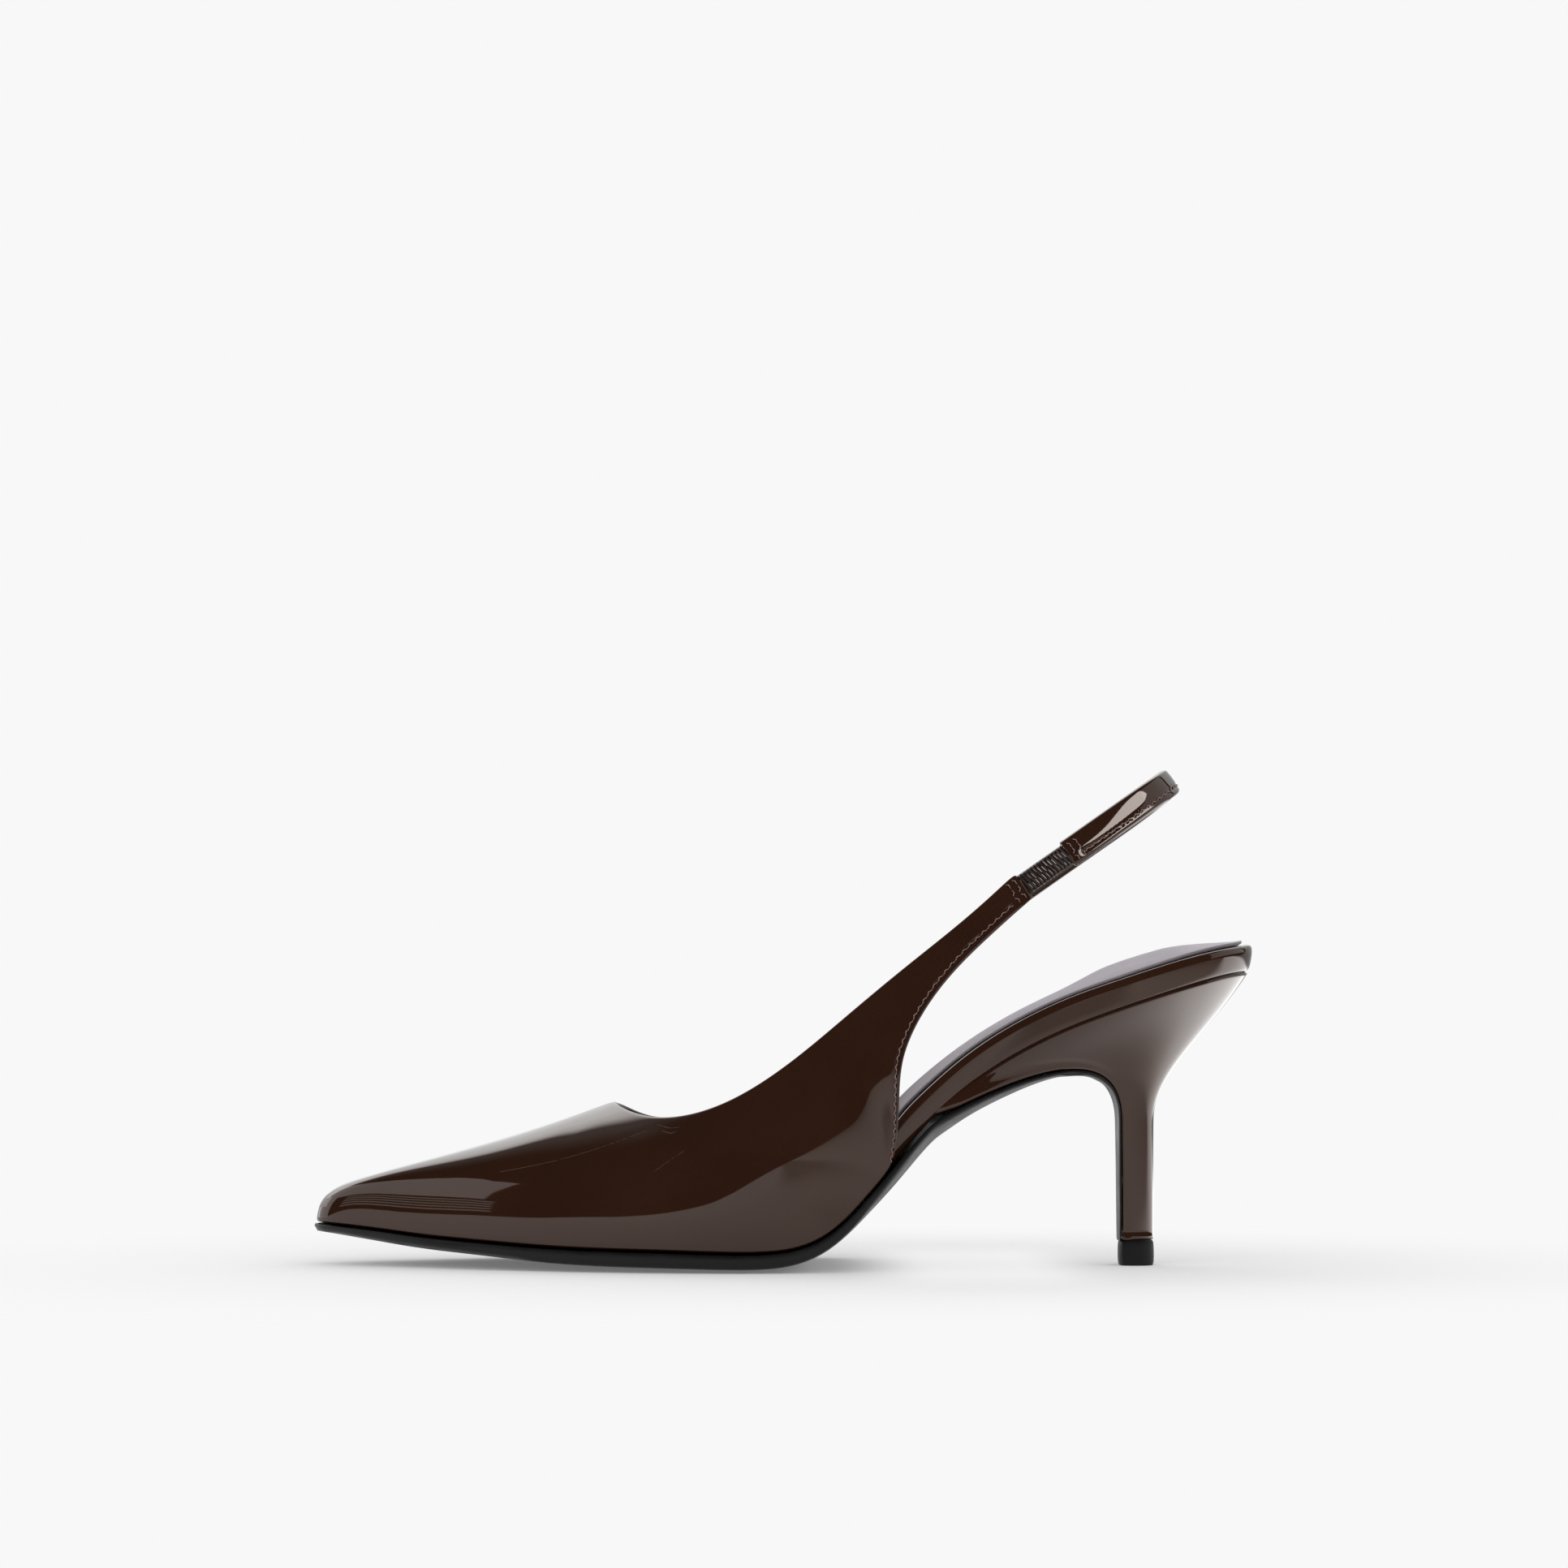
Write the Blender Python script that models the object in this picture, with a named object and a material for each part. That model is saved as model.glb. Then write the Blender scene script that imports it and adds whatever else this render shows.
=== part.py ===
"""Slingback court shoe for the left foot: pointed toe, slim heel of about 70 mm.

Frame: +Z up, floor at Z = 0, toe towards -X, outer side of the foot towards -Y.
All sizes are in metres.  In the tables "outer" and "inner" are the Y places of
the two sides of the shoe.
"""
import math
from collections import namedtuple

import bmesh
import bpy
import numpy as np

# Fit between pieces and walls
GAP = 0.0003
FEATHER_GAP = 0.0004
UPPER_WALL = 0.0016
MERGE = 0.000001
SHARP_ANGLE = math.radians(35.0)

# Upper
VAMP_STEPS = 11
QUARTER_STEPS = 15
WING_STEPS = 12
UPPER_ROWS = 9
EDGE_ROW = 0.0012
FOLD_ROWS = (1.0, 2.0, 3.1)
INNER_DROP = 0.0012
INNER_DROP_START = 0.012
INNER_DROP_RUN = 0.022

# Sole and arch
SOLE_FRONT_STEPS = 27
SOLE_ARCH_STEPS = 24
SOLE_BREAST_STEPS = 4
SOLE_BEVEL = 0.0005
ARCH_TURN_RUN = 0.014
COLUMN_AXIS = (0.0855, 0.0003)

# Insole board and sock
BOARD_INSET = 0.0022
BOARD_FRONT_STEPS = 22
BOARD_SEAT_STEPS = 20
SOCK_INSET = 0.0024
SOCK_EDGE = 0.0005

# Heel column and top piece
BREAST_X = 0.0822
COLUMN_TOP_Z = 0.0350
COLUMN_TOP_HALF = 0.0060
COLUMN_TOP_DEPTH = 0.0081
COLUMN_FOOT_HALF = 0.0045
COLUMN_FOOT_DEPTH = 0.0078
HEEL_INSET = 0.0008
SEAT_GAP = 0.00045
HEEL_STEPS = 12
HEEL_START_STEP = 1
TOP_PIECE_HEIGHT = 0.0060
TOP_PIECE_FRONT_X = 0.0817
TOP_PIECE_BACK_X = 0.0905
TOP_PIECE_HALF = 0.0047
TOP_PIECE_CHAMFER = 0.0003
TOP_PIECE_CORNER = 0.0006

# Sling strap and elastic
LOOP_TILT = math.radians(35.0)
LOOP_BACK = (0.0957, 0.0003, 0.1188)
BACK_STRAP_WIDTH = 0.0070
BACK_STRAP_WALL = 0.0018
BACK_STRAP_STEPS = 34
STRAP_PILLOW = 0.00025
STRAP_FACE = (-0.72, -0.42, -0.10, 0.30, 0.70)
BACK_STRAP_START_X = 0.0336
STRAP_END_X = 0.0465
ELASTIC_WIDTH = 0.0060
ELASTIC_WALL = 0.0011
ELASTIC_DEPTH = 0.0004
ELASTIC_RIBS = 12
ELASTIC_RIB_HEIGHT = 0.0003

# Line where the upper meets the sole, from the toe tip back to the waist
FEATHER_ROWS = (
    # x, z, outer, inner
    (-0.1150, 0.0099, 0.0045, 0.0045),
    (-0.1141, 0.0099, 0.0012, 0.0078),
    (-0.1120, 0.0098, -0.0013, 0.0103),
    (-0.1080, 0.0095, -0.0039, 0.0131),
    (-0.1000, 0.0088, -0.0079, 0.0167),
    (-0.0880, 0.0075, -0.0137, 0.0215),
    (-0.0740, 0.0065, -0.0200, 0.0262),
    (-0.0600, 0.0056, -0.0254, 0.0298),
    (-0.0450, 0.0050, -0.0297, 0.0323),
    (-0.0300, 0.0047, -0.0325, 0.0334),
    (-0.0150, 0.0043, -0.0340, 0.0329),
    (-0.0040, 0.0043, -0.0340, 0.0316),
    (0.0060, 0.0060, -0.0334, 0.0298),
    (0.0140, 0.0112, -0.0322, 0.0280),
    (0.0200, 0.0177, -0.0309, 0.0264),
    (0.0262, 0.0249, -0.0292, 0.0247),
    (0.0310, 0.0307, -0.0272, 0.0226),
    (0.0360, 0.0359, -0.0246, 0.0203),
)
WING_CORNER_X = 0.0262
THROAT_FEATHER_X = -0.0620

# Sole sheet along its length, sizes measured straight down
SOLE_ROWS = (
    # x, thick, crown, margin
    (-0.1150, 0.0018, 0.0000, 0.0004),
    (-0.1000, 0.0027, 0.0002, 0.0006),
    (-0.0750, 0.0031, 0.0007, 0.0008),
    (-0.0450, 0.0033, 0.0016, 0.0008),
    (-0.0150, 0.0033, 0.0016, 0.0008),
    (0.0040, 0.0032, 0.0016, 0.0007),
    (0.0140, 0.0031, 0.0018, 0.0005),
    (0.0220, 0.0031, 0.0026, 0.0004),
    (0.0290, 0.0028, 0.0037, 0.0003),
    (0.0360, 0.0022, 0.0036, 0.0002),
    (0.0430, 0.0016, 0.0022, 0.0002),
    (0.0500, 0.0013, 0.0017, 0.0002),
    (0.0600, 0.0012, 0.0010, 0.0002),
    (0.0710, 0.0010, 0.0003, 0.0002),
    (0.0822, 0.0006, 0.0000, 0.0002),
)

# Rear of the insole board, whose edge is the rim round the seat
SEAT_ROWS = (
    # x, bottom, top, outer, inner
    (0.0290, 0.0288, 0.0384, -0.0263, 0.0215),
    (0.0360, 0.0364, 0.0450, -0.0243, 0.0200),
    (0.0457, 0.0451, 0.0530, -0.0224, 0.0193),
    (0.0570, 0.0523, 0.0600, -0.0219, 0.0201),
    (0.0690, 0.0581, 0.0656, -0.0227, 0.0220),
    (0.0820, 0.0629, 0.0701, -0.0239, 0.0240),
    (0.0940, 0.0669, 0.0739, -0.0237, 0.0243),
    (0.1030, 0.0695, 0.0762, -0.0206, 0.0213),
    (0.1095, 0.0709, 0.0774, -0.0145, 0.0152),
    (0.1134, 0.0715, 0.0780, -0.0078, 0.0085),
    (0.1147, 0.0718, 0.0783, 0.0003, 0.0003),
)

# Board thickness under the vamp and wings
BOARD_ROWS = (
    # x, thick
    (-0.1150, 0.0018),
    (-0.0300, 0.0020),
    (-0.0040, 0.0026),
    (0.0100, 0.0046),
    (0.0200, 0.0080),
    (0.0290, 0.0096),
)

# Rim edge from its top to its bottom: set in from the outline, share of height
RIM_EDGE_ROWS = (
    # inset, share
    (0.0016, 1.000),
    (0.0004, 0.985),
    (0.0000, 0.930),
    (-0.0003, 0.760),
    (0.0002, 0.280),
    (0.0007, 0.030),
    (0.0018, 0.000),
)

# Sock dome above the board at the middle of its width
DOME_ROWS = (
    # x, rise
    (-0.1150, 0.0005),
    (-0.0400, 0.0007),
    (0.0000, 0.0010),
    (0.0300, 0.0019),
    (0.0450, 0.0013),
    (0.0600, 0.0012),
    (0.0730, 0.0015),
    (0.0810, 0.0022),
    (0.0900, 0.0020),
    (0.1000, 0.0015),
    (0.1080, 0.0007),
    (0.1147, 0.0002),
)

# Ridge of the vamp, nose to throat
RIDGE_ROWS = (
    # x, z, y
    (-0.1040, 0.0210, 0.0042),
    (-0.0904, 0.0247, 0.0034),
    (-0.0690, 0.0308, 0.0023),
    (-0.0540, 0.0356, 0.0015),
    (-0.0417, 0.0400, 0.0008),
)

# Topline from the throat to the end of the front straps
TOPLINE_ROWS = (
    # x, z, outer, inner
    (-0.0417, 0.0400, 0.0008, 0.0008),
    (-0.0408, 0.0396, -0.0052, 0.0068),
    (-0.0381, 0.0384, -0.0114, 0.0128),
    (-0.0336, 0.0371, -0.0172, 0.0182),
    (-0.0282, 0.0368, -0.0217, 0.0224),
    (-0.0206, 0.0381, -0.0260, 0.0262),
    (-0.0128, 0.0411, -0.0288, 0.0286),
    (-0.0012, 0.0482, -0.0308, 0.0301),
    (0.0143, 0.0606, -0.0306, 0.0296),
    (0.0299, 0.0734, -0.0288, 0.0283),
    (0.0456, 0.0861, -0.0272, 0.0274),
    (0.0555, 0.0951, -0.0261, 0.0266),
)
WING_TOP_X = 0.0080

# Rear edge of the wing and lower edge of the front strap
WING_EDGE_ROWS = (
    # x, z, outer, inner
    (0.0262, 0.0249, -0.0292, 0.0247),
    (0.0272, 0.0338, -0.0306, 0.0268),
    (0.0275, 0.0420, -0.0313, 0.0283),
    (0.0280, 0.0495, -0.0313, 0.0291),
    (0.0304, 0.0563, -0.0308, 0.0292),
    (0.0350, 0.0642, -0.0299, 0.0289),
    (0.0416, 0.0723, -0.0287, 0.0284),
    (0.0494, 0.0798, -0.0275, 0.0277),
    (0.0597, 0.0891, -0.0258, 0.0264),
)

# Section shape: place 0 nose, 1 throat, 2 wing corner, 3 strap end; degrees and
# shares of the chord; turn is the heading of the section where it meets the ridge
SHAPE_ROWS = (
    # place, low_lean, low_reach, top_lean, top_reach, turn
    (0.00, 0.0, 0.42, 90.0, 0.50, 0.0),
    (0.12, 2.5, 0.41, 90.0, 0.52, 48.0),
    (0.30, 6.0, 0.40, 90.0, 0.54, 78.0),
    (0.55, 8.5, 0.40, 90.0, 0.55, 86.0),
    (0.80, 11.0, 0.39, 90.0, 0.53, 76.0),
    (1.00, 14.0, 0.38, 88.0, 0.49, 60.0),
    (1.15, 17.0, 0.38, 79.0, 0.46, 60.0),
    (1.30, 19.0, 0.37, 67.0, 0.44, 66.0),
    (1.50, 18.5, 0.36, 53.0, 0.43, 78.0),
    (1.67, 16.0, 0.36, 45.0, 0.42, 86.0),
    (1.80, 15.0, 0.36, 40.0, 0.43, 89.0),
    (1.93, 14.0, 0.36, 29.0, 0.42, 90.0),
    (2.05, 11.0, 0.35, 20.0, 0.39, 90.0),
    (2.40, 6.0, 0.34, 8.5, 0.33, 90.0),
    (3.00, 2.5, 0.33, 2.5, 0.33, 90.0),
)

# Curves of the heel's ribs, front of the seat to its back: height they aim at, reach and
# inward pull towards it, rise above the column and flare out from it
HEEL_AIM_ROWS = (
    # share, height, reach, rise, pull, flare
    (0.00, 0.0610, 0.42, 0.0215, 0.12, 0.12),
    (0.12, 0.0530, 0.41, 0.0205, 0.18, 0.10),
    (0.25, 0.0480, 0.41, 0.0190, 0.26, 0.08),
    (0.50, 0.0440, 0.41, 0.0165, 0.36, 0.04),
    (0.75, 0.0370, 0.39, 0.0138, 0.40, 0.02),
    (1.00, 0.0250, 0.33, 0.0125, 0.33, 0.00),
)

# Sling loop seen square to its plane, from the back of the heel forward
LOOP_ROWS = (
    # x, outer, inner
    (0.0000, 0.0000, 0.0000),
    (0.0009, -0.0060, 0.0060),
    (0.0036, -0.0115, 0.0115),
    (0.0080, -0.0160, 0.0160),
    (0.0150, -0.0200, 0.0201),
    (0.0250, -0.0232, 0.0234),
    (0.0370, -0.0252, 0.0256),
    (0.0480, -0.0263, 0.0268),
)

# Colours, roughness
PATENT = (0.030, 0.014, 0.009, 1.0)
SOLE_BLACK = (0.012, 0.012, 0.013, 1.0)
SOCK_TAUPE = (0.165, 0.130, 0.120, 1.0)
ELASTIC_BROWN = (0.060, 0.035, 0.030, 1.0)
PATENT_ROUGHNESS = 0.12
SATIN_ROUGHNESS = 0.35
CLOTH_ROUGHNESS = 0.65


def second_slopes(knots, values):
    """Second derivatives of a natural cubic spline."""
    count = len(knots)
    matrix = np.eye(count)
    right = np.zeros(values.shape)
    for i in range(1, count - 1):
        before = knots[i] - knots[i - 1]
        after = knots[i + 1] - knots[i]
        matrix[i, i - 1] = before / 6.0
        matrix[i, i] = (before + after) / 3.0
        matrix[i, i + 1] = after / 6.0
        right[i] = (values[i + 1] - values[i]) / after - (values[i] - values[i - 1]) / before
    return np.linalg.solve(matrix, right)


class Table:
    """Rows of named sizes joined by natural cubic splines along their run."""

    def __init__(self, columns, rows, round_start=False, round_end=False, by_first=False):
        self.row = namedtuple("Row", columns)
        rows = [list(row) for row in rows]
        if round_start:
            rows.insert(0, self.swapped(rows[1]))
        if round_end:
            rows.append(self.swapped(rows[-2]))
        self.values = np.array(rows)
        steps = np.sqrt((np.diff(self.values, axis=0) ** 2).sum(axis=1))
        if by_first:
            steps = np.diff(self.values[:, 0])
        self.knots = np.concatenate(([0.0], np.cumsum(steps)))
        self.bends = second_slopes(self.knots, self.values)
        self.round_start = round_start
        self.round_end = round_end
        self.first = self.knots[1 if round_start else 0]
        self.last = self.knots[-2 if round_end else -1]
        shares = np.linspace(0.0, 1.0, 801)
        self.shares = shares
        self.leading = np.array([self.at(share)[0] for share in shares])

    @staticmethod
    def swapped(row):
        """The row mirrored across a round end: outer and inner change places."""
        return row[:-2] + [row[-1], row[-2]]

    def at(self, share):
        """Named sizes at a share of the run from the first row to the last."""
        run = self.first + (self.last - self.first) * share
        i = int(np.clip(np.searchsorted(self.knots, run) - 1, 0, len(self.knots) - 2))
        width = self.knots[i + 1] - self.knots[i]
        b = (run - self.knots[i]) / width
        a = 1.0 - b
        low, high = self.values[i], self.values[i + 1]
        bow = ((a ** 3 - a) * self.bends[i] + (b ** 3 - b) * self.bends[i + 1]) * width ** 2 / 6.0
        return self.row(*(a * low + b * high + bow))

    def where(self, value):
        """Share of the run at which the first column has this value."""
        return float(np.interp(value, self.leading, self.shares))

    def by(self, value):
        """Named sizes where the first column has this value."""
        return self.at(self.where(value))


FEATHER = Table("x z outer inner", FEATHER_ROWS, round_start=True)
SOLE = Table("x thick crown margin", SOLE_ROWS, by_first=True)
SEAT = Table("x bottom top outer inner", SEAT_ROWS, round_end=True)
BOARD = Table("x thick", BOARD_ROWS, by_first=True)
DOME = Table("x rise", DOME_ROWS, by_first=True)
RIDGE = Table("x z y", RIDGE_ROWS)
TOPLINE = Table("x z outer inner", TOPLINE_ROWS, round_start=True)
WING_EDGE = Table("x z outer inner", WING_EDGE_ROWS)
SHAPE = Table("place low_lean low_reach top_lean top_reach turn", SHAPE_ROWS, by_first=True)
HEEL_AIM = Table("share height reach rise pull flare", HEEL_AIM_ROWS, by_first=True)
LOOP = Table("x outer inner", LOOP_ROWS, round_start=True)

OUTER, INNER = -1, 1
UP = np.array((0.0, 0.0, 1.0))


def unit(vector):
    """The vector at length one."""
    return vector / np.linalg.norm(vector)


def smooth(value):
    """Ease from 0 to 1."""
    value = min(max(value, 0.0), 1.0)
    return value * value * (3.0 - 2.0 * value)


def outline_normal(table, share, side):
    """Plan direction that points out of the outline on one side."""
    if table.round_start and share <= 0.0:
        return np.array((-1.0, 0.0, 0.0))
    if table.round_end and share >= 1.0:
        return np.array((1.0, 0.0, 0.0))
    before = table.at(share - 0.002)
    after = table.at(share + 0.002)
    run = after.x - before.x
    if side == OUTER:
        return unit(np.array((after.outer - before.outer, -run, 0.0)))
    return unit(np.array((before.inner - after.inner, run, 0.0)))


def bezier(points, share):
    """Point on a cubic curve."""
    a = 1.0 - share
    first, second, third, fourth = points
    return (a ** 3 * first + 3.0 * a * a * share * second
            + 3.0 * a * share * share * third + share ** 3 * fourth)


def rib(start, foot, step, share):
    """Line from the seat or waist that sweeps towards the heel column and turns down it."""
    row = HEEL_AIM.by(step)
    aim = np.array((COLUMN_AXIS[0], COLUMN_AXIS[1], row.height))
    lead = start + np.array((row.reach, row.pull, row.reach)) * (aim - start)
    turn = foot + np.array((0.0, row.flare * (start[1] - foot[1]), row.rise))
    return bezier((start, lead, turn, foot), share)


def material(name, colour, roughness):
    """Plain surface for one piece."""
    surface = bpy.data.materials.new(name)
    surface.use_nodes = True
    shader = surface.node_tree.nodes["Principled BSDF"]
    shader.inputs["Base Color"].default_value = colour
    shader.inputs["Roughness"].default_value = roughness
    surface.diffuse_color = colour
    return surface


def finish(mesh, name, surface):
    """Turn a closed bmesh into a named object."""
    bmesh.ops.remove_doubles(mesh, verts=mesh.verts, dist=MERGE)
    bmesh.ops.dissolve_degenerate(mesh, edges=mesh.edges, dist=MERGE)
    bmesh.ops.recalc_face_normals(mesh, faces=mesh.faces)
    if mesh.calc_volume(signed=True) < 0.0:
        bmesh.ops.reverse_faces(mesh, faces=mesh.faces)
    data = bpy.data.meshes.new(name)
    mesh.to_mesh(data)
    mesh.free()
    data.shade_smooth()
    data.set_sharp_from_angle(angle=SHARP_ANGLE)
    data.materials.append(surface)
    piece = bpy.data.objects.new(name, data)
    bpy.context.scene.collection.objects.link(piece)
    return piece


def skin(name, loops, surface, cap_start=False, cap_end=False):
    """Solid from a run of loops with equal numbers of points."""
    mesh = bmesh.new()
    rings = [[mesh.verts.new(point) for point in loop] for loop in loops]
    for ring, after in zip(rings, rings[1:]):
        for i in range(len(ring)):
            j = (i + 1) % len(ring)
            mesh.faces.new((ring[i], ring[j], after[j], after[i]))
    if cap_start:
        mesh.faces.new(rings[0][::-1])
    if cap_end:
        mesh.faces.new(rings[-1])
    return finish(mesh, name, surface)


def column_outline(turn, half, depth, height, side):
    """Point of the heel column's D: turn 0 at the breast corner, 90 degrees at the back."""
    x = BREAST_X + GAP + depth * math.sin(turn) ** 0.85
    y = half * math.cos(turn) ** 0.9
    return np.array((x, COLUMN_AXIS[1] + side * y, height))


def arch_edge(share, side):
    """Edge of the sole sheet from the waist over the arch to the top of the column."""
    start = FEATHER.at(1.0)
    y = start.outer if side == OUTER else start.inner
    low = np.array((BREAST_X, COLUMN_AXIS[1] + side * COLUMN_TOP_HALF, COLUMN_TOP_Z))
    return rib(np.array((start.x, y, start.z)), low, 0.0, share)


def arch_square(share):
    """Direction square to the sole sheet on the arch."""
    run = arch_edge(min(share + 0.005, 1.0), OUTER) - arch_edge(max(share - 0.005, 0.0), OUTER)
    return unit(np.array((-run[2], 0.0, run[0])))


def arch_up(share):
    """Direction of the sole's sections: straight up at the waist, turning with the arch."""
    turn = smooth((arch_edge(share, OUTER)[0] - FEATHER.at(1.0).x) / ARCH_TURN_RUN)
    return unit((1.0 - turn) * UP + turn * arch_square(share))


def heel_edge(share, side):
    """Front edge of the heel, a gap behind the sole sheet."""
    return arch_edge(share, side) + GAP * arch_square(share)


def breast_sag(share):
    """Shift of the heel's breast that follows the crown of the sole sheet."""
    return -SOLE.by(arch_edge(share, OUTER)[0]).crown * arch_up(share)


def breast_edge(share, side):
    """Edge of the sole sheet down the front of the heel column."""
    half = COLUMN_TOP_HALF + (COLUMN_FOOT_HALF - COLUMN_TOP_HALF) * share
    z = COLUMN_TOP_Z + (TOP_PIECE_HEIGHT + GAP - COLUMN_TOP_Z) * share
    return np.array((BREAST_X, COLUMN_AXIS[1] + side * half, z))


def sole_stations():
    """Edge points, section direction and table row for each section of the sole."""
    stations = []
    for i in range(SOLE_FRONT_STEPS + 1):
        share = (i / SOLE_FRONT_STEPS) ** 1.25
        row = FEATHER.at(share)
        outer = np.array((row.x, row.outer, row.z))
        inner = np.array((row.x, row.inner, row.z))
        out_outer = outline_normal(FEATHER, share, OUTER)
        out_inner = outline_normal(FEATHER, share, INNER)
        stations.append((outer, inner, out_outer, out_inner, row.x, UP))
    side_out = np.array((0.0, 1.0, 0.0))
    for i in range(1, SOLE_ARCH_STEPS + 1):
        share = i / SOLE_ARCH_STEPS
        outer = arch_edge(share, OUTER)
        inner = arch_edge(share, INNER)
        stations.append((outer, inner, -side_out, side_out, outer[0], arch_up(share)))
    for i in range(1, SOLE_BREAST_STEPS + 1):
        share = i / SOLE_BREAST_STEPS
        outer = breast_edge(share, OUTER)
        inner = breast_edge(share, INNER)
        stations.append((outer, inner, -side_out, side_out, BREAST_X, arch_up(1.0)))
    return stations


def make_outsole(surface):
    """Sole sheet: true outline, toe spring, crowned waist, flap down the breast."""
    places = np.linspace(-1.0, 1.0, 9)
    loops = []
    for outer, inner, out_outer, out_inner, x, up in sole_stations():
        row = SOLE.by(x)
        top_outer = outer + row.margin * out_outer
        top_inner = inner + row.margin * out_inner
        low_outer = top_outer - SOLE_BEVEL * out_outer
        low_inner = top_inner - SOLE_BEVEL * out_inner
        top = []
        low = []
        for place in places:
            share = 0.5 + 0.5 * place
            sag = row.crown * (1.0 - place * place)
            top.append((1.0 - share) * top_outer + share * top_inner - sag * up)
            low.append((1.0 - share) * low_outer + share * low_inner - (sag + row.thick) * up)
        side_outer = top_outer + 0.3 * SOLE_BEVEL * out_outer - 0.5 * row.thick * up
        side_inner = top_inner + 0.3 * SOLE_BEVEL * out_inner - 0.5 * row.thick * up
        loop = top + [side_inner] + low[::-1] + [side_outer]
        loops.append([(p[0], p[1], max(p[2], 0.0)) for p in loop])
    return skin("outsole", loops, surface, cap_end=True)


def board_stations():
    """Sections of the insole board: outline, bottom and top heights, sag across the width."""
    stations = []
    reach = FEATHER.where(WING_CORNER_X)
    for i in range(BOARD_FRONT_STEPS + 1):
        share = reach * (i / BOARD_FRONT_STEPS) ** 1.2
        row = FEATHER.at(share)
        outer = np.array((row.x, row.outer, 0.0)) - BOARD_INSET * outline_normal(FEATHER, share, OUTER)
        inner = np.array((row.x, row.inner, 0.0)) - BOARD_INSET * outline_normal(FEATHER, share, INNER)
        base = FEATHER.by(outer[0]).z + GAP
        out_outer = outline_normal(FEATHER, share, OUTER)
        out_inner = outline_normal(FEATHER, share, INNER)
        top = base + BOARD.by(row.x).thick
        stations.append((outer, inner, out_outer, out_inner, base, top, SOLE.by(row.x).crown))
    for i in range(BOARD_SEAT_STEPS + 1):
        share = 1.0 - (1.0 - i / BOARD_SEAT_STEPS) ** 1.35
        row = SEAT.at(share)
        outer = np.array((row.x, row.outer, 0.0))
        inner = np.array((row.x, row.inner, 0.0))
        out_outer = outline_normal(SEAT, share, OUTER)
        out_inner = outline_normal(SEAT, share, INNER)
        fade = 1.0 - smooth((row.x - 0.029) / 0.009)
        sag = fade * SOLE.by(row.x).crown
        stations.append((outer, inner, out_outer, out_inner, row.bottom, row.top, sag))
    return stations


def make_insole_board(surface):
    """Board with a thick rounded rim round the seat and a thin forepart under the vamp."""
    loops = []
    shares = np.linspace(0.0, 1.0, 7)[1:-1]
    for outer, inner, out_outer, out_inner, base, top, sag in board_stations():
        height = top - base
        outer_edge = []
        inner_edge = []
        for inset, share in RIM_EDGE_ROWS:
            rise = (base + share * height) * UP
            outer_edge.append(outer - inset * out_outer + rise)
            inner_edge.append(inner - inset * out_inner + rise)
        top_line = [(1.0 - s) * outer_edge[0] + s * inner_edge[0] for s in shares]
        low_line = []
        for s in shares:
            place = 2.0 * s - 1.0
            point = (1.0 - s) * outer_edge[-1] + s * inner_edge[-1]
            low_line.append(point - sag * (1.0 - place * place) * UP)
        loops.append(outer_edge[::-1] + top_line + inner_edge + low_line[::-1])
    return skin("insole_board", loops, surface)


def make_sock_lining(surface):
    """Padded sock on the board, domed across its width."""
    loops = []
    shares = np.linspace(0.0, 1.0, 9)
    for outer, inner, out_outer, out_inner, base, top, sag in board_stations():
        left = outer - SOCK_INSET * out_outer + (top + GAP) * UP
        right = inner - SOCK_INSET * out_inner + (top + GAP) * UP
        rise = DOME.by(outer[0]).rise
        low_line = []
        top_line = []
        for s in shares:
            place = 2.0 * s - 1.0
            point = (1.0 - s) * left + s * right
            low_line.append(point)
            top_line.append(point + (SOCK_EDGE + rise * (1.0 - place * place) ** 0.8) * UP)
        loops.append(top_line + low_line[::-1])
    return skin("sock_lining", loops, surface)


def upper_boundary(side):
    """Lower and upper points of every section on one side, with its place in the shape table."""
    sections = []
    throat = FEATHER.where(THROAT_FEATHER_X)
    corner = FEATHER.where(WING_CORNER_X)
    wing_top = TOPLINE.where(WING_TOP_X)
    for i in range(VAMP_STEPS + 1):
        step = i / VAMP_STEPS
        share = throat * step ** 1.35
        low = FEATHER.at(share)
        ridge = RIDGE.at(step ** 1.1)
        low_y = low.outer if side == OUTER else low.inner
        bottom = np.array((low.x, low_y, low.z + FEATHER_GAP))
        top = np.array((ridge.x, ridge.y, ridge.z))
        sections.append((bottom, top, outline_normal(FEATHER, share, side), step))
    for i in range(1, QUARTER_STEPS + 1):
        step = i / QUARTER_STEPS
        share = throat + (corner - throat) * step
        low = FEATHER.at(share)
        low_y = low.outer if side == OUTER else low.inner
        bottom = np.array((low.x, low_y, low.z + FEATHER_GAP))
        sections.append((bottom, topline_point(wing_top * step, side),
                         outline_normal(FEATHER, share, side), 1.0 + step))
    for i in range(1, WING_STEPS + 1):
        step = i / WING_STEPS
        low = WING_EDGE.at(step)
        low_y = low.outer if side == OUTER else low.inner
        drop = 0.0 if side == OUTER else INNER_DROP * smooth(step * 2.5)
        rise = FEATHER_GAP * (1.0 - smooth(step * 3.0))
        bottom = np.array((low.x, low_y, low.z + rise - drop))
        share = wing_top + (1.0 - wing_top) * step
        sections.append((bottom, topline_point(share, side),
                         outline_normal(TOPLINE, min(share, 0.995), side), 2.0 + step))
    return sections


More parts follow.
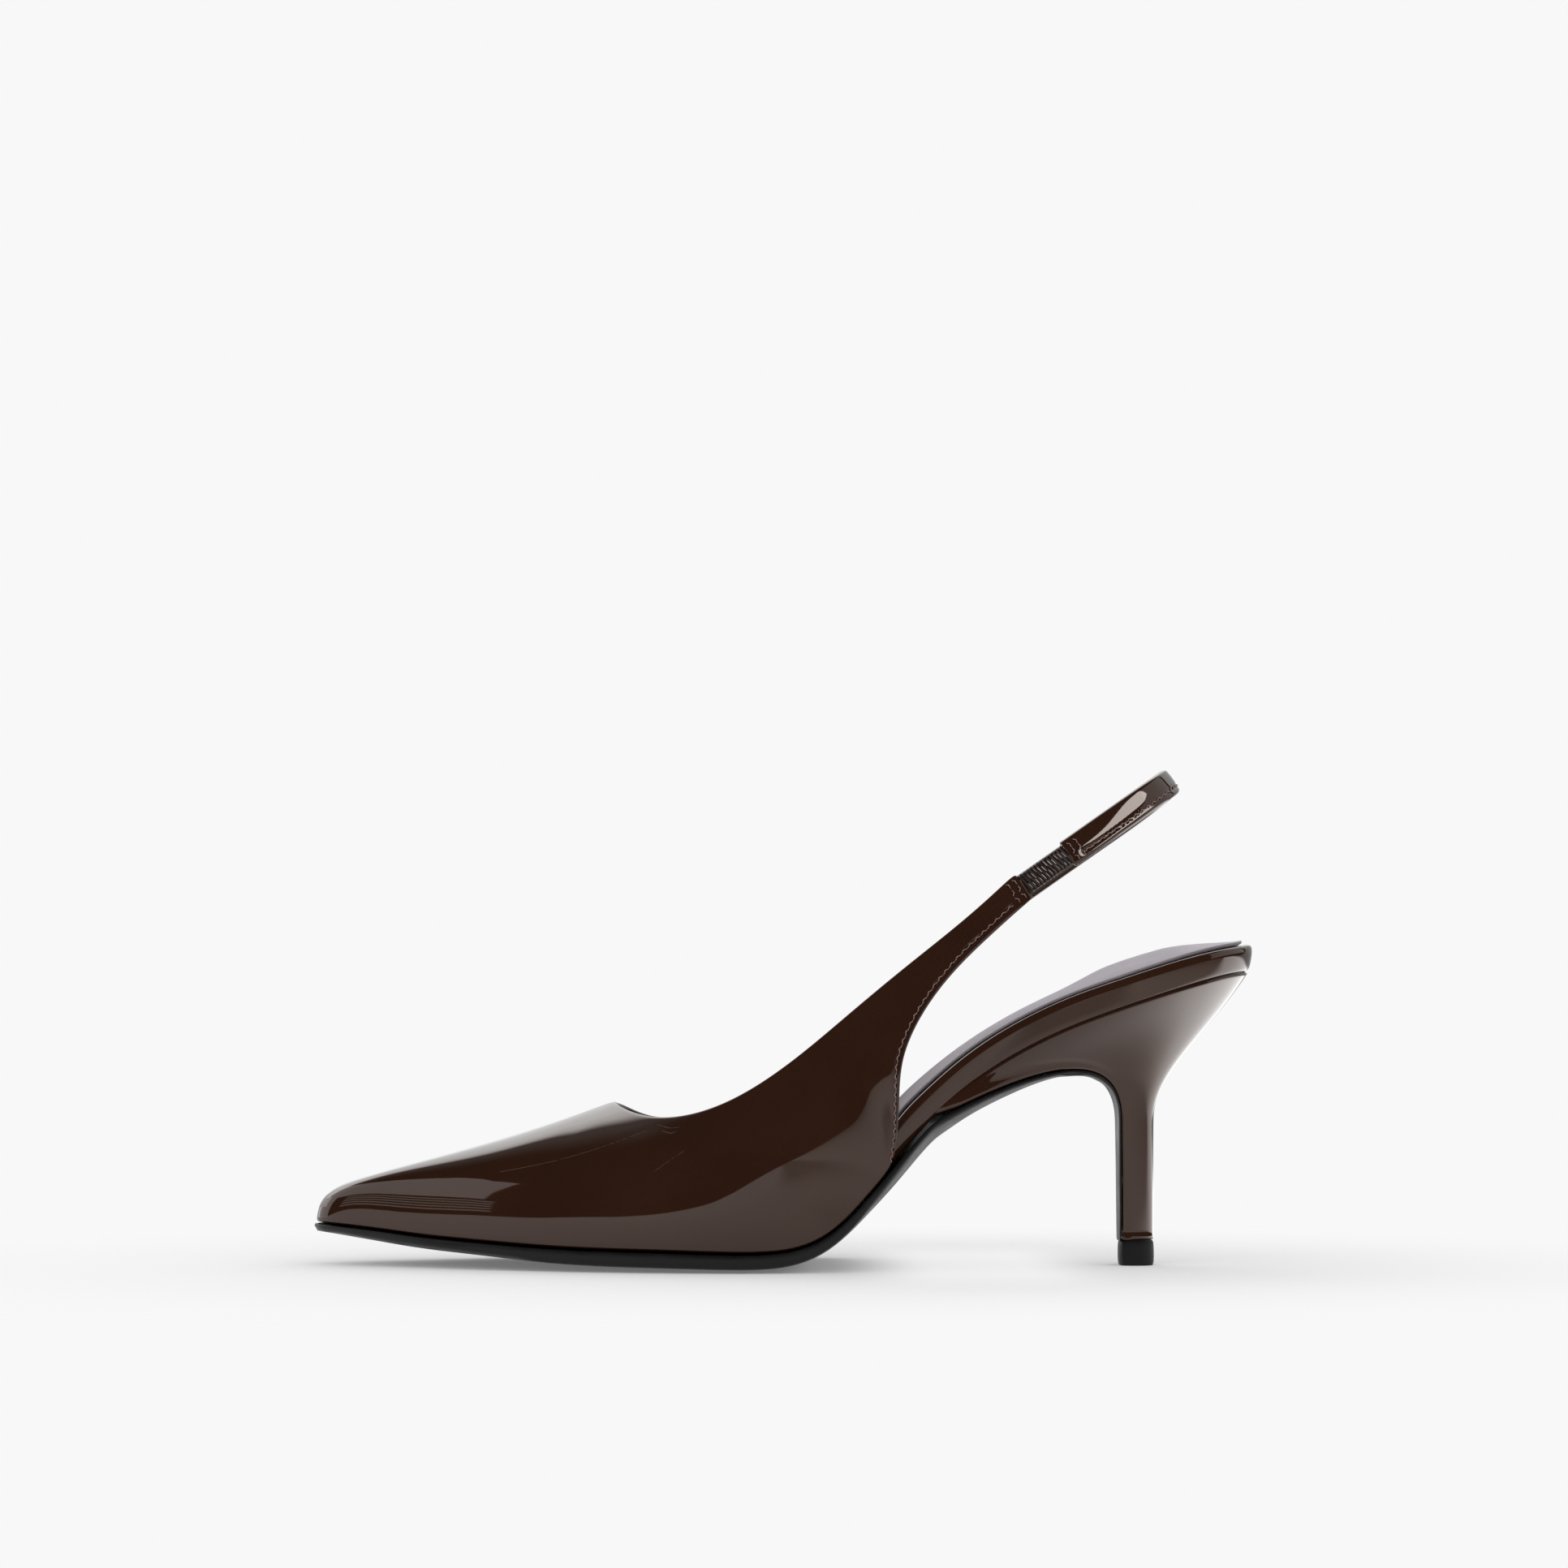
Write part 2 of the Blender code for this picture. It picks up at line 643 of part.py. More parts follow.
def topline_point(share, side):
    """Point of the topline; the inner side runs a little lower."""
    row = TOPLINE.at(share)
    if side == OUTER:
        return np.array((row.x, row.outer, row.z))
    run = share * (TOPLINE.last - TOPLINE.first)
    drop = INNER_DROP * smooth((run - INNER_DROP_START) / INNER_DROP_RUN)
    return np.array((row.x, row.inner, row.z - drop))


def row_shares(place, low_row, top_row):
    """Shares up a section: rows lie close to the lasted edge, the topline and the wing's fold."""
    vamp = np.concatenate(([0.0], np.linspace(low_row, 1.0, UPPER_ROWS)))
    quarter = np.concatenate(([0.0], np.linspace(low_row, top_row, UPPER_ROWS - 1), [1.0]))
    fold = np.array(FOLD_ROWS) * low_row
    rest = np.linspace(fold[-1], top_row, UPPER_ROWS - len(fold))[1:]
    wing = np.concatenate(([0.0], fold, rest, [1.0]))
    edge = smooth((place - 0.7) / 0.3)
    back = smooth((place - 1.4) / 0.55)
    front = (1.0 - edge) * vamp + edge * quarter
    return (1.0 - back) * front + back * wing


def section_points(bottom, top, out, place, side):
    """Points up one section of the upper, feather line to ridge or topline."""
    shape = SHAPE.by(place)
    chord = top - bottom
    up = unit(np.array((chord[0], 0.0, chord[2])))
    reach = np.linalg.norm(chord)
    low_lean = math.radians(shape.low_lean)
    top_lean = math.radians(shape.top_lean)
    turn = math.radians(min(shape.turn, 90.0))
    along = smooth((place - 1.3) / 0.6)
    rise = unit((1.0 - along) * UP + along * up)
    low_dir = math.cos(low_lean) * rise + math.sin(low_lean) * out
    step = min(place, 1.0) ** 1.1
    base = RIDGE.at(step - 0.01)
    ahead = RIDGE.at(step + 0.01)
    back = unit(np.array((ahead.x - base.x, ahead.y - base.y, ahead.z - base.z)))
    blend = smooth((place - 1.0) / 0.5)
    aside = unit((1.0 - blend) * np.array((0.0, float(side), 0.0)) + blend * out)
    top_out = math.sin(turn) * aside - math.cos(turn) * back
    top_dir = math.sin(top_lean) * top_out - math.cos(top_lean) * up
    points = (bottom, bottom + shape.low_reach * reach * low_dir,
              top + shape.top_reach * reach * top_dir, top)
    low_row = EDGE_ROW / (3.0 * shape.low_reach * reach)
    top_row = 1.0 - EDGE_ROW / (3.0 * shape.top_reach * reach)
    return [bezier(points, share) for share in row_shares(place, low_row, top_row)]


def make_upper(surface):
    """Lasted shell with vamp, wings and front straps; open at the throat and underneath."""
    mesh = bmesh.new()
    for side in (OUTER, INNER):
        columns = []
        for bottom, top, out, place in upper_boundary(side):
            points = section_points(bottom, top, out, place, side)
            columns.append([mesh.verts.new(point) for point in points])
        for column, after in zip(columns, columns[1:]):
            for j in range(UPPER_ROWS):
                face = [column[j], after[j], after[j + 1], column[j + 1]]
                if side == INNER:
                    face.reverse()
                mesh.faces.new(face)
    bmesh.ops.remove_doubles(mesh, verts=mesh.verts, dist=MERGE)
    thicken(mesh, UPPER_WALL)
    return finish(mesh, "upper", surface)


def thicken(mesh, wall):
    """Give an open shell an inner face and a rim; the lower rim stays level with the sole."""
    mesh.normal_update()
    inside = {}
    for vert in list(mesh.verts):
        point = vert.co - wall * vert.normal
        if vert.is_boundary and vert.co.z < WING_EDGE_ROWS[0][1] + FEATHER_GAP:
            point.z = max(point.z, vert.co.z)
        inside[vert] = mesh.verts.new(point)
    edges = [edge for edge in mesh.edges if edge.is_boundary]
    for face in list(mesh.faces):
        mesh.faces.new([inside[vert] for vert in reversed(face.verts)])
    for edge in edges:
        first, second = edge.verts
        mesh.faces.new((first, second, inside[second], inside[first]))


def make_heel(surface):
    """Covered heel: flared to the seat outline, tongue under the waist, flat breast, slim column."""
    mesh = bmesh.new()
    start = SEAT.where(FEATHER.at(1.0).x + 0.0045)
    foot_z = TOP_PIECE_HEIGHT + GAP
    rows = SOLE_ARCH_STEPS - HEEL_START_STEP
    wall = []
    for side in (OUTER, INNER):
        ribs = []
        for k in range(HEEL_STEPS + 1):
            step = k / HEEL_STEPS
            turn = 0.5 * math.pi * step
            high = column_outline(turn, COLUMN_TOP_HALF, COLUMN_TOP_DEPTH, COLUMN_TOP_Z, side)
            foot = column_outline(turn, COLUMN_FOOT_HALF, COLUMN_FOOT_DEPTH, foot_z, side)
            line = []
            if k == 0:
                for j in range(rows + 1):
                    line.append(heel_edge((HEEL_START_STEP + j) / SOLE_ARCH_STEPS, side))
            else:
                share = start + (1.0 - start) * step ** 0.9
                row = SEAT.at(share)
                y = row.outer if side == OUTER else row.inner
                out = outline_normal(SEAT, share, side)
                seat = np.array((row.x, y, 0.0)) - HEEL_INSET * out
                seat[2] = SEAT.by(seat[0]).bottom - SEAT_GAP
                for j in range(rows + 1):
                    line.append(rib(seat, high, step, j / rows))
            for j in range(1, SOLE_BREAST_STEPS + 1):
                line.append(high + (foot - high) * j / SOLE_BREAST_STEPS)
            ribs.append([mesh.verts.new(point) for point in line])
        wall.append(ribs)
    outer, inner = wall
    for ribs, flip in ((outer, False), (inner, True)):
        for line, after in zip(ribs, ribs[1:]):
            for j in range(len(line) - 1):
                face = [line[j], line[j + 1], after[j + 1], after[j]]
                mesh.faces.new(face[::-1] if flip else face)
    shares = np.linspace(0.0, 1.0, 6)

    def cross(first, second, sag):
        """Row of points from one side to the other."""
        row = [first]
        for s in shares[1:-1]:
            place = 2.0 * s - 1.0
            point = first.co.lerp(second.co, s)
            shift = sag * (1.0 - place * place)
            row.append(mesh.verts.new(np.array(point) + shift))
        return row + [second]

    def fill(rows):
        """Faces between rows of points."""
        for row, after in zip(rows, rows[1:]):
            for i in range(len(row) - 1):
                mesh.faces.new((row[i], row[i + 1], after[i + 1], after[i]))

    flat = np.zeros(3)
    seat_rows = [cross(outer[k][0], inner[k][0], flat) for k in range(HEEL_STEPS + 1)]
    fill(seat_rows)
    foot_rows = [cross(outer[k][-1], inner[k][-1], flat) for k in range(HEEL_STEPS + 1)]
    fill(foot_rows)
    breast_rows = []
    for j in range(len(outer[0])):
        sag = breast_sag(min((HEEL_START_STEP + j) / SOLE_ARCH_STEPS, 1.0))
        breast_rows.append(cross(outer[0][j], inner[0][j], sag))
    fill(breast_rows)
    front = seat_rows[0][1:-1]
    mesh.faces.new(breast_rows[0] + front[::-1])
    return finish(mesh, "heel", surface)


def make_top_piece(surface):
    """Heel tip: a D with rounded front corners and a small chamfer at the floor."""
    middle = 0.5 * (TOP_PIECE_FRONT_X + TOP_PIECE_BACK_X)
    half = 0.5 * (TOP_PIECE_BACK_X - TOP_PIECE_FRONT_X)
    rows = ((0.0, TOP_PIECE_CHAMFER), (TOP_PIECE_CORNER, 0.0),
            (TOP_PIECE_HEIGHT - TOP_PIECE_CORNER, 0.0), (TOP_PIECE_HEIGHT, TOP_PIECE_CHAMFER))
    loops = []
    for height, inset in rows:
        loop = []
        for i in range(32):
            angle = 2.0 * math.pi * i / 32
            power = 0.35 if math.cos(angle) < 0.0 else 0.85
            x = math.copysign(abs(math.cos(angle)) ** power, math.cos(angle))
            y = math.copysign(abs(math.sin(angle)) ** 0.75, math.sin(angle))
            loop.append((middle + (half - inset) * x,
                         COLUMN_AXIS[1] + (TOP_PIECE_HALF - inset) * y, height))
        loops.append(loop)
    return skin("top_piece", loops, surface, cap_start=True, cap_end=True)


def loop_point(share, side, depth, across):
    """Point of the sling: depth inward from its outer face, across its width."""
    row = LOOP.at(share)
    y = row.outer if side == OUTER else row.inner
    out = outline_normal(LOOP, share, side)
    forward = row.x - depth * out[0]
    y = y - depth * out[1]
    drop = INNER_DROP * smooth(y / 0.020)
    cos_tilt = math.cos(LOOP_TILT)
    sin_tilt = math.sin(LOOP_TILT)
    x = LOOP_BACK[0] - forward * cos_tilt - across * sin_tilt
    z = LOOP_BACK[2] - forward * sin_tilt + across * cos_tilt - drop
    return (x, LOOP_BACK[1] + y, z)


def strap_loop(share, side, width, depth, wall, pillow=0.0):
    """Cross section of a strap with soft edges, pillowed on its faces."""
    half = 0.5 * width
    soft = 0.3 * wall
    back = depth + wall
    outer_face = []
    inner_face = []
    if pillow:
        for place in STRAP_FACE:
            rise = pillow * (1.0 - place * place)
            outer_face.append((depth - rise, place * half))
            inner_face.append((back + 0.4 * rise, -place * half))
    corners = [(depth, half - soft), (depth + soft, half), (back - soft, half), (back, half - soft)]
    corners += inner_face
    corners += [(back, soft - half), (back - soft, -half), (depth + soft, -half), (depth, soft - half)]
    corners += outer_face
    return [loop_point(share, side, d, w) for d, w in corners]


def make_back_strap(surface):
    """Strap from the elastic round the heel of the foot to the inner front strap."""
    first = LOOP.where(BACK_STRAP_START_X)
    last = LOOP.where(STRAP_END_X - GAP)
    loops = []
    for i in range(BACK_STRAP_STEPS + 1):
        run = -first + (first + last) * i / BACK_STRAP_STEPS
        side = OUTER if run < 0.0 else INNER
        loops.append(strap_loop(abs(run), side, BACK_STRAP_WIDTH, 0.0, BACK_STRAP_WALL, STRAP_PILLOW))
    return skin("back_strap", loops, surface, cap_start=True, cap_end=True)


def make_elastic_gore(surface):
    """Short ribbed elastic on the outer side."""
    first = LOOP.where(BACK_STRAP_START_X + GAP)
    last = LOOP.where(STRAP_END_X - GAP)
    steps = ELASTIC_RIBS * 3
    loops = []
    for i in range(steps + 1):
        share = first + (last - first) * i / steps
        swell = ELASTIC_RIB_HEIGHT * math.sin(math.pi * i / 3.0) ** 2
        wall = ELASTIC_WALL + swell
        loops.append(strap_loop(share, OUTER, ELASTIC_WIDTH, ELASTIC_DEPTH - swell, wall))
    return skin("elastic_gore", loops, surface, cap_start=True, cap_end=True)


def main():
    """Build every piece of the shoe."""
    for old in list(bpy.data.objects):
        bpy.data.objects.remove(old, do_unlink=True)
    patent = material("patent_leather", PATENT, PATENT_ROUGHNESS)
    make_outsole(material("sole_leather", SOLE_BLACK, SATIN_ROUGHNESS))
    make_insole_board(material("rim_patent", PATENT, PATENT_ROUGHNESS))
    make_sock_lining(material("sock_leather", SOCK_TAUPE, CLOTH_ROUGHNESS))
    make_upper(patent)
    make_back_strap(material("strap_patent", PATENT, PATENT_ROUGHNESS))
    make_elastic_gore(material("elastic_weave", ELASTIC_BROWN, CLOTH_ROUGHNESS))
    make_heel(material("heel_patent", PATENT, PATENT_ROUGHNESS))
    make_top_piece(material("tip_rubber", SOLE_BLACK, CLOTH_ROUGHNESS))


main()
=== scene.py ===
"""Patent leather slingback shoe: finished pieces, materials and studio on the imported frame."""
import math
from contextlib import contextmanager

import bmesh
import bpy
from bpy.props import FloatProperty, FloatVectorProperty, PointerProperty
from mathutils import Matrix, Vector
from mathutils.bvhtree import BVHTree
from mathutils.kdtree import KDTree


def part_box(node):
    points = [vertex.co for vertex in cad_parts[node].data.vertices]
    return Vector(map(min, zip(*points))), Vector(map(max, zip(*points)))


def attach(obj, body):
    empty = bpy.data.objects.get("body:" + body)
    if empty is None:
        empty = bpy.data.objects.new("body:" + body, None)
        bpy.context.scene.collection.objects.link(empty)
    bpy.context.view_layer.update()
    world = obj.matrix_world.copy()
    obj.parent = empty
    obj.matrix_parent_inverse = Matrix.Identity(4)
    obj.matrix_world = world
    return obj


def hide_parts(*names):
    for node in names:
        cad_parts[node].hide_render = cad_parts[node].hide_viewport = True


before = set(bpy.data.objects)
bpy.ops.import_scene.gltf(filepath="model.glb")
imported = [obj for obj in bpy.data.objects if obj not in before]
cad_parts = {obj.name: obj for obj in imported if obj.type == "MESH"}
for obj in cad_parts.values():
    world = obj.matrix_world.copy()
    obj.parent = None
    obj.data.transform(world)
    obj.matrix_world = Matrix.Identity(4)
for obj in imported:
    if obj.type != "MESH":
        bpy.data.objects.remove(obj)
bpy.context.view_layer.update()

bl_info = {
    "name": "Patent Slingback Shoe",
    "version": (1, 0, 0),
    "blender": (4, 5, 0),
    "location": "View3D > Sidebar > Shoe",
    "description": "Dresses the packed slingback shoe in patent leather and sets up its studio",
    "category": "Object",
}

MERGE = 0.000001
OUTER, INNER = -1, 1

# Seam along the rear edge of the wing and the lower edge of the front strap: x, z
WING_SEAM = (
    (0.0253, 0.0259), (0.0262, 0.0339), (0.0264, 0.0421), (0.0268, 0.0497), (0.0291, 0.0569),
    (0.0337, 0.0651), (0.0403, 0.0735), (0.0481, 0.0812), (0.0548, 0.0873),
)
FRONT_STRAP_END = 0.0565
# Two rows across the end of the front strap, top to bottom: x, z
FRONT_STRAP_ROWS = (
    ((0.0546, 0.0936), (0.0580, 0.0888)),
    ((0.0531, 0.0926), (0.0565, 0.0877)),
)
# How much lower the inner side's seams lie, how far from the middle the drop is reached, share at a point
INNER_DROP = 0.0012
INNER_DROP_REACH = 0.020
INNER_DROP_STEP = 0.25
# Rough distance of the seams from the middle plane, before they are laid on a surface
WING_SIDE, FRONT_STRAP_SIDE, CREASE_SIDE = 0.030, 0.027, 0.020
PATH_STEPS = 8
# A line laid on a surface: how far outside it starts, how long it is, and the height it falls from
LAY_START, LAY_REACH, LAY_HEIGHT = 0.015, 0.030, 0.30
# Creases of the vamp on the outer side, front to back: x, z
CREASES = (
    ((-0.0680, 0.0234), (-0.0600, 0.0250), (-0.0519, 0.0269), (-0.0420, 0.0300), (-0.0330, 0.0333)),
    ((-0.0304, 0.0242), (-0.0268, 0.0268), (-0.0236, 0.0289)),
    ((-0.0302, 0.0348), (-0.0275, 0.0341), (-0.0250, 0.0343)),
    ((-0.0290, 0.0334), (-0.0272, 0.0329), (-0.0256, 0.0333)),
)

# Sling loop: tilt, directions in its plane, rearmost point, middle, and its seam: forward, y
LOOP_TILT = math.radians(35.0)
LOOP_AHEAD = Vector((-math.cos(LOOP_TILT), 0.0, -math.sin(LOOP_TILT)))
LOOP_UP = Vector((-math.sin(LOOP_TILT), 0.0, math.cos(LOOP_TILT)))
LOOP_BACK = Vector((0.0957, 0.0003, 0.1188))
LOOP_CENTRE = 0.022
STRAP_SEAM = (
    (0.0300, -0.0240), (0.0250, -0.0232), (0.0150, -0.0200), (0.0080, -0.0160), (0.0036, -0.0115),
    (0.0009, -0.0060), (0.0000, 0.0000), (0.0009, 0.0060), (0.0036, 0.0115), (0.0080, 0.0160),
    (0.0150, 0.0201), (0.0250, 0.0234), (0.0370, 0.0256), (0.0425, 0.0262),
)
# Strap: place of its seam across it and depth over a wing seam's, rows across its ends: y, forward,
# their half length, where its outer and inner ends begin, and the radius of its upper edge
STRAP_SEAM_ACROSS = -0.0017
STRAP_SEAM_SHARE = 1.3
STRAP_ROWS = ((-0.0244, 0.0321), (-0.0242, 0.0303), (0.0265, 0.0449), (0.0263, 0.0431))
STRAP_ROW_REACH = 0.0026
STRAP_END = (0.0325, 0.0455)
STRAP_ROLL = 0.0008
# Elastic: its ends, number, slant and sizes of the cords, and the threads between them
ELASTIC_FRONT, ELASTIC_BACK = 0.0460, 0.0341
ELASTIC_RIBS = 13
ELASTIC_SLANT = math.radians(12.0)
ELASTIC_THICK = 0.0012
ELASTIC_SIDE = -0.0253
ELASTIC_NARROWING = 0.18
ELASTIC_CORD_REACH = 0.0023
ELASTIC_CORD_RISE = 0.0012
ELASTIC_CORD_SHARE = 0.82
ELASTIC_THREAD = (0.0018, 0.00022, 0.00022)
ELASTIC_THREAD_RISE = 0.00020
# Two rows of raised threads, pale as a painted highlight: place across the elastic, stagger and its repeat
ELASTIC_THREAD_ROWS = ((-0.0011, -0.0003, 2), (0.0013, -0.0004, 3))

# Troughs of the vamp's creases, and the pale line laid in them as a painted highlight: spacing, then length,
# width, height
CREASE_DEPTH, CREASE_WIDTH = 0.00010, 0.0011
CREASE_HIGHLIGHT_PITCH = 0.0016
CREASE_HIGHLIGHT_BEAD = (0.0022, 0.00013, 0.00005)
# Swell of the sock under the heel: places along the shoe, middle, height and half width
SWELL_X = (0.080, 0.084, 0.088, 0.092)
SWELL_Y, SWELL_HEIGHT, SWELL_WIDTH = 0.0003, 0.0010, 0.009
# Toe of the sole: where it begins, how far it thins over what length, and its middle line: x, z, slope
TOE_X, TOE_THIN, TOE_RUN = -0.055, 0.0010, 0.030
TOE_LINE = (-0.075, 0.0043, -0.125)
TOE_SLICES = 250.0
# Foot of the heel: heights of its cuts, height moved, flare and the point it flares from
HEEL_CUTS = (0.0019, 0.0023)
HEEL_FOOT = 0.0005
HEEL_FLARE = (1.02, 1.05, 1.0)
HEEL_AXIS = (0.0835, 0.0003, 0.0)
# Tongue of the heel: how far its lower edge leans in, where the lean begins and its length
TONGUE_LEAN, TONGUE_X, TONGUE_RUN = 0.10, 0.066, 0.018
TONGUE_FRONT = 0.042

# Stitch: length over its pitch along and across a strap, bend and lift of its thread, needle hole, turn
STITCH_ALONG, STITCH_ACROSS = 1.04, 0.95
HOOK_SPREAD, HOOK_MIDDLE, THREAD_LIFT = 0.17, 0.30, 0.30
HOLE_SHAPE, HOLE_SHIFT = (1.15, 0.85, 0.20), 0.10
CROSS_SWAY = math.radians(20.0)

# Inside of the upper: the middle that it faces, y and z, how high it is followed, cosine of the turn
INSIDE_Y, INSIDE_Z, INSIDE_RISE, INSIDE_TURN = 0.001, 0.018, 0.02, -0.3
# Limits of lined or hidden faces: board, top of the sole, flap, top of the heel, foot of the arch
RIM_FRONT, SOLE_REAR, FLAP_FRONT, HEEL_TOP, ARCH_FOOT = 0.026, 0.036, 0.070, 0.030, 0.009

# Joints closed between pieces: margin kept round the hidden faces, and how far they move
SOCK_SEAT = (0.0010, 0.0004)
SOLE_SEAT = (0.0020, 0.00035)
FLAP_SEAT = (0.0, 0.0003)
HEEL_SEAT = (0.0012, 0.0016)
ARCH_SEAT = (0.0010, 0.0004)
TONGUE_SEAT = (0.0, 0.0032)
TIP_SEAT = (0.0008, 0.0006)
STRAP_SEAT = (0.0, 0.0004)
ELASTIC_SEAT = (0.0, 0.0009)

# Edges held against the subdivision: angle in degrees, and how firmly
FIRM_EDGE = (40.0, 0.85)
SOCK_EDGE = (40.0, 0.80)
STRAP_EDGE = (40.0, 0.75)
TIP_EDGE = (30.0, 0.92)

# Paper near the shoe: tone, glow, and the reach of the shadow with its stretch across the floor
PAPER_TONE, PAPER_GLOW = 0.86, 0.135
SHADOW_REACH, SHADOW_STRETCH = (0.09, 0.22), (0.80, 1.15, 1.0)
# Painted light under the arch, a glow of the floor that takes away part of its shadow: middle, reach along
# and across, and how much of the shadow goes
ARCH_X, ARCH_ALONG, ARCH_ACROSS, ARCH_PAINTED_LIGHT = 0.047, (0.010, 0.036), (0.03, 0.10), 0.75
# Paper in reflections: heights over which the backdrop brightens, lifts and fades, and the levels reached
WALL_RISE, WALL_LIFT, WALL_FADE = (0.30, 1.20), (0.02, 0.15), (1.55, 2.40)
LIFT_LEVEL, FADE_LEVEL = 1.23, 0.10
# Paper in reflections: dimmer to the right, darker under the arch as painted shade, brighter behind the heel
# as painted light
DIM_X, DIM_LEVEL = (0.05, 0.60), 0.45
SHADE_X, SHADE_ALONG, SHADE_UP, SHADE_LEVEL = 0.055, (0.025, 0.060), (0.02, 0.10), 0.55
HEEL_LIGHT_X, HEEL_LIGHT_NEAR, HEEL_LIGHT_FAR = (0.085, 0.15), (-0.08, 0.02), (0.30, 0.50)

# Softboxes: name, place, the point it faces, width and height, power
OVERHEAD = ("overhead", (0.0, 0.10, 1.20), (0.0, 0.0, 0.0), (1.6, 1.3), 0.8)
LEFT_CARD = ("left_card", (-0.90, 0.10, 0.60), (0.0, 0.10, 0.60), (1.60, 0.52), 2.95)
LOW_CARD = ("left_low_card", (-0.90, 0.45, 0.17), (0.0, 0.45, 0.17), (0.90, 0.34), 1.08)
RIGHT_CARD = ("right_card", (0.95, 0.08, 0.62), (0.0, 0.08, 0.62), (1.00, 1.00), 2.2)
STRIP_LIGHT = ("strip_light", (0.722, -0.661, 0.530), (0.081, -0.020, 0.107), (0.95, 0.28), 6.3)
STRIP_ALONG = (0.143, 0.400, 0.408)
SLATS, SLAT_TOP, SLAT_STEP = 5, 0.29, 0.05
SLAT_X, SLAT_Y, SLAT_SIZE, SLAT_POWER = -0.90, -0.50, (0.50, 0.022), 0.034
# Surroundings: level in reflections, its gain overhead behind the shoe, and the dome's shares low and high
DARK = 0.03
GLOW_BACK, GLOW_UP, GLOW_GAIN = (0.0, 0.50), (0.50, 0.80), 9.0
DOME_LOW, DOME_HIGH = 1.9, 0.35


def colour_property(name, description, default):
    """Colour setting."""
    return FloatVectorProperty(name=name, description=description, subtype="COLOR", size=3,
                               min=0.0, max=1.0, default=default)


def length_property(name, description, default):
    """Length setting in metres."""
    return FloatProperty(name=name, description=description, default=default, unit="LENGTH",
                         subtype="DISTANCE", precision=5)


class ShoeFinish(bpy.types.PropertyGroup):
    """Colours of the shoe's materials."""

    patent: colour_property("Patent", "Brown under the gloss", (0.0250, 0.0092, 0.0046))
    sock: colour_property("Sock", "Leather of the padded sock", (0.176, 0.150, 0.157))
    lining: colour_property("Lining", "Leather inside the upper", (0.150, 0.112, 0.106))
    sole: colour_property("Sole", "Black of the sole and its edge", (0.0052, 0.0052, 0.0057))
    rubber: colour_property("Heel tip", "Rubber of the heel tip", (0.0060, 0.0060, 0.0068))
    thread: colour_property("Thread", "Sewing thread", (0.180, 0.110, 0.098))
    # Painted highlight: pale colour of the lines laid in the vamp's creases
    crease: colour_property("Crease", "Stretched film in a crease", (0.075, 0.044, 0.028))
    # Painted shade: colour of the dark flat bead that stands for each needle hole's depth
    needle_hole_shade: colour_property("Needle hole", "Shade in a needle hole", (0.004, 0.002, 0.0015))
    elastic: colour_property("Elastic", "Ground of the woven elastic", (0.010, 0.0055, 0.0045))
    elastic_rib: colour_property("Elastic rib", "Cords across the elastic", (0.030, 0.0165, 0.0135))
    # Painted highlight: pale colour of the raised threads between the elastic's cords
    elastic_thread_highlight: colour_property("Elastic thread", "Bright threads between the cords",
                                    (0.420, 0.360, 0.350))


class ShoeSewing(bpy.types.PropertyGroup):
    """Sizes of the stitches and of the leather round them."""

    pitch: length_property("Pitch", "Distance from stitch to stitch", 0.00215)
    cross_pitch: length_property("Cross pitch", "Distance between stitches across a strap", 0.00175)
    thread: length_property("Thread", "Thickness of the thread", 0.00034)
    hook: length_property("Hook", "How far the thread bends round a needle hole", 0.00036)
    hole: length_property("Needle hole", "Width of a needle hole", 0.00086)
    seam_depth: length_property("Seam depth", "How far a seam pulls the leather in", 0.00017)
    seam_width: length_property("Seam width", "Half width of the trough along a seam", 0.00065)


class ShoeStage(bpy.types.PropertyGroup):
    """Camera, floor and lights."""

    camera_distance: length_property("Camera distance", "Camera to the middle of the shoe", 0.95)
    camera_height: length_property("Camera height", "Camera above the floor", 0.061)
    aim_height: length_property("Aim height", "Height the camera points at", 0.1178)
    frame_width: length_property("Frame width", "Width of the picture at the middle of the shoe", 0.3864)
    table_front: length_property("Table front", "Floor in front of the shoe", 1.10)
    table_back: length_property("Table back", "Floor behind the shoe, up to the backdrop", 1.25)
    table_half: length_property("Table half width", "Floor to each side of the shoe", 1.6)
    wall: length_property("Backdrop height", "Height of the backdrop", 2.8)
    sweep: length_property("Sweep radius", "Curve between floor and backdrop", 0.45)
    white: FloatProperty(name="White", description="Brightness of the empty background", default=0.939)
    dome: FloatProperty(name="Dome", description="Soft light from all round on the floor", default=1.03)
    wall_gain: FloatProperty(name="Wall gain", description="Backdrop's middle height, in reflections",
                             default=2.1)
    heel_gain: FloatProperty(name="Heel gain", description="Floor behind the heel, in reflections",
                             default=2.0)


@contextmanager
def editing(piece):
    """Edit mode on one piece, left again at the end."""
    select_only(piece)
    bpy.ops.object.mode_set(mode="EDIT")
    yield
    bpy.ops.object.mode_set(mode="OBJECT")


def select_only(piece):
    """Make one piece the only selected one, and active."""
    bpy.ops.object.select_all(action="DESELECT")
    piece.select_set(True)
    bpy.context.view_layer.objects.active = piece


def node_copy(node, name):
    """Copy of a CAD node with its points merged and its faces turned back into quads."""
    piece = bpy.data.objects.new(name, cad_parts[node].data.copy())
    piece.data.materials.clear()
    bpy.context.scene.collection.objects.link(piece)
    select_only(piece)
    if piece.data.has_custom_normals:
        bpy.ops.mesh.customdata_custom_splitnormals_clear()
    with editing(piece):
        bpy.ops.mesh.select_all(action="SELECT")
        bpy.ops.mesh.remove_doubles(threshold=MERGE)
        bpy.ops.mesh.tris_convert_to_quads(face_threshold=math.pi, shape_threshold=math.pi,
                                           topology_influence=2.0)
    return piece


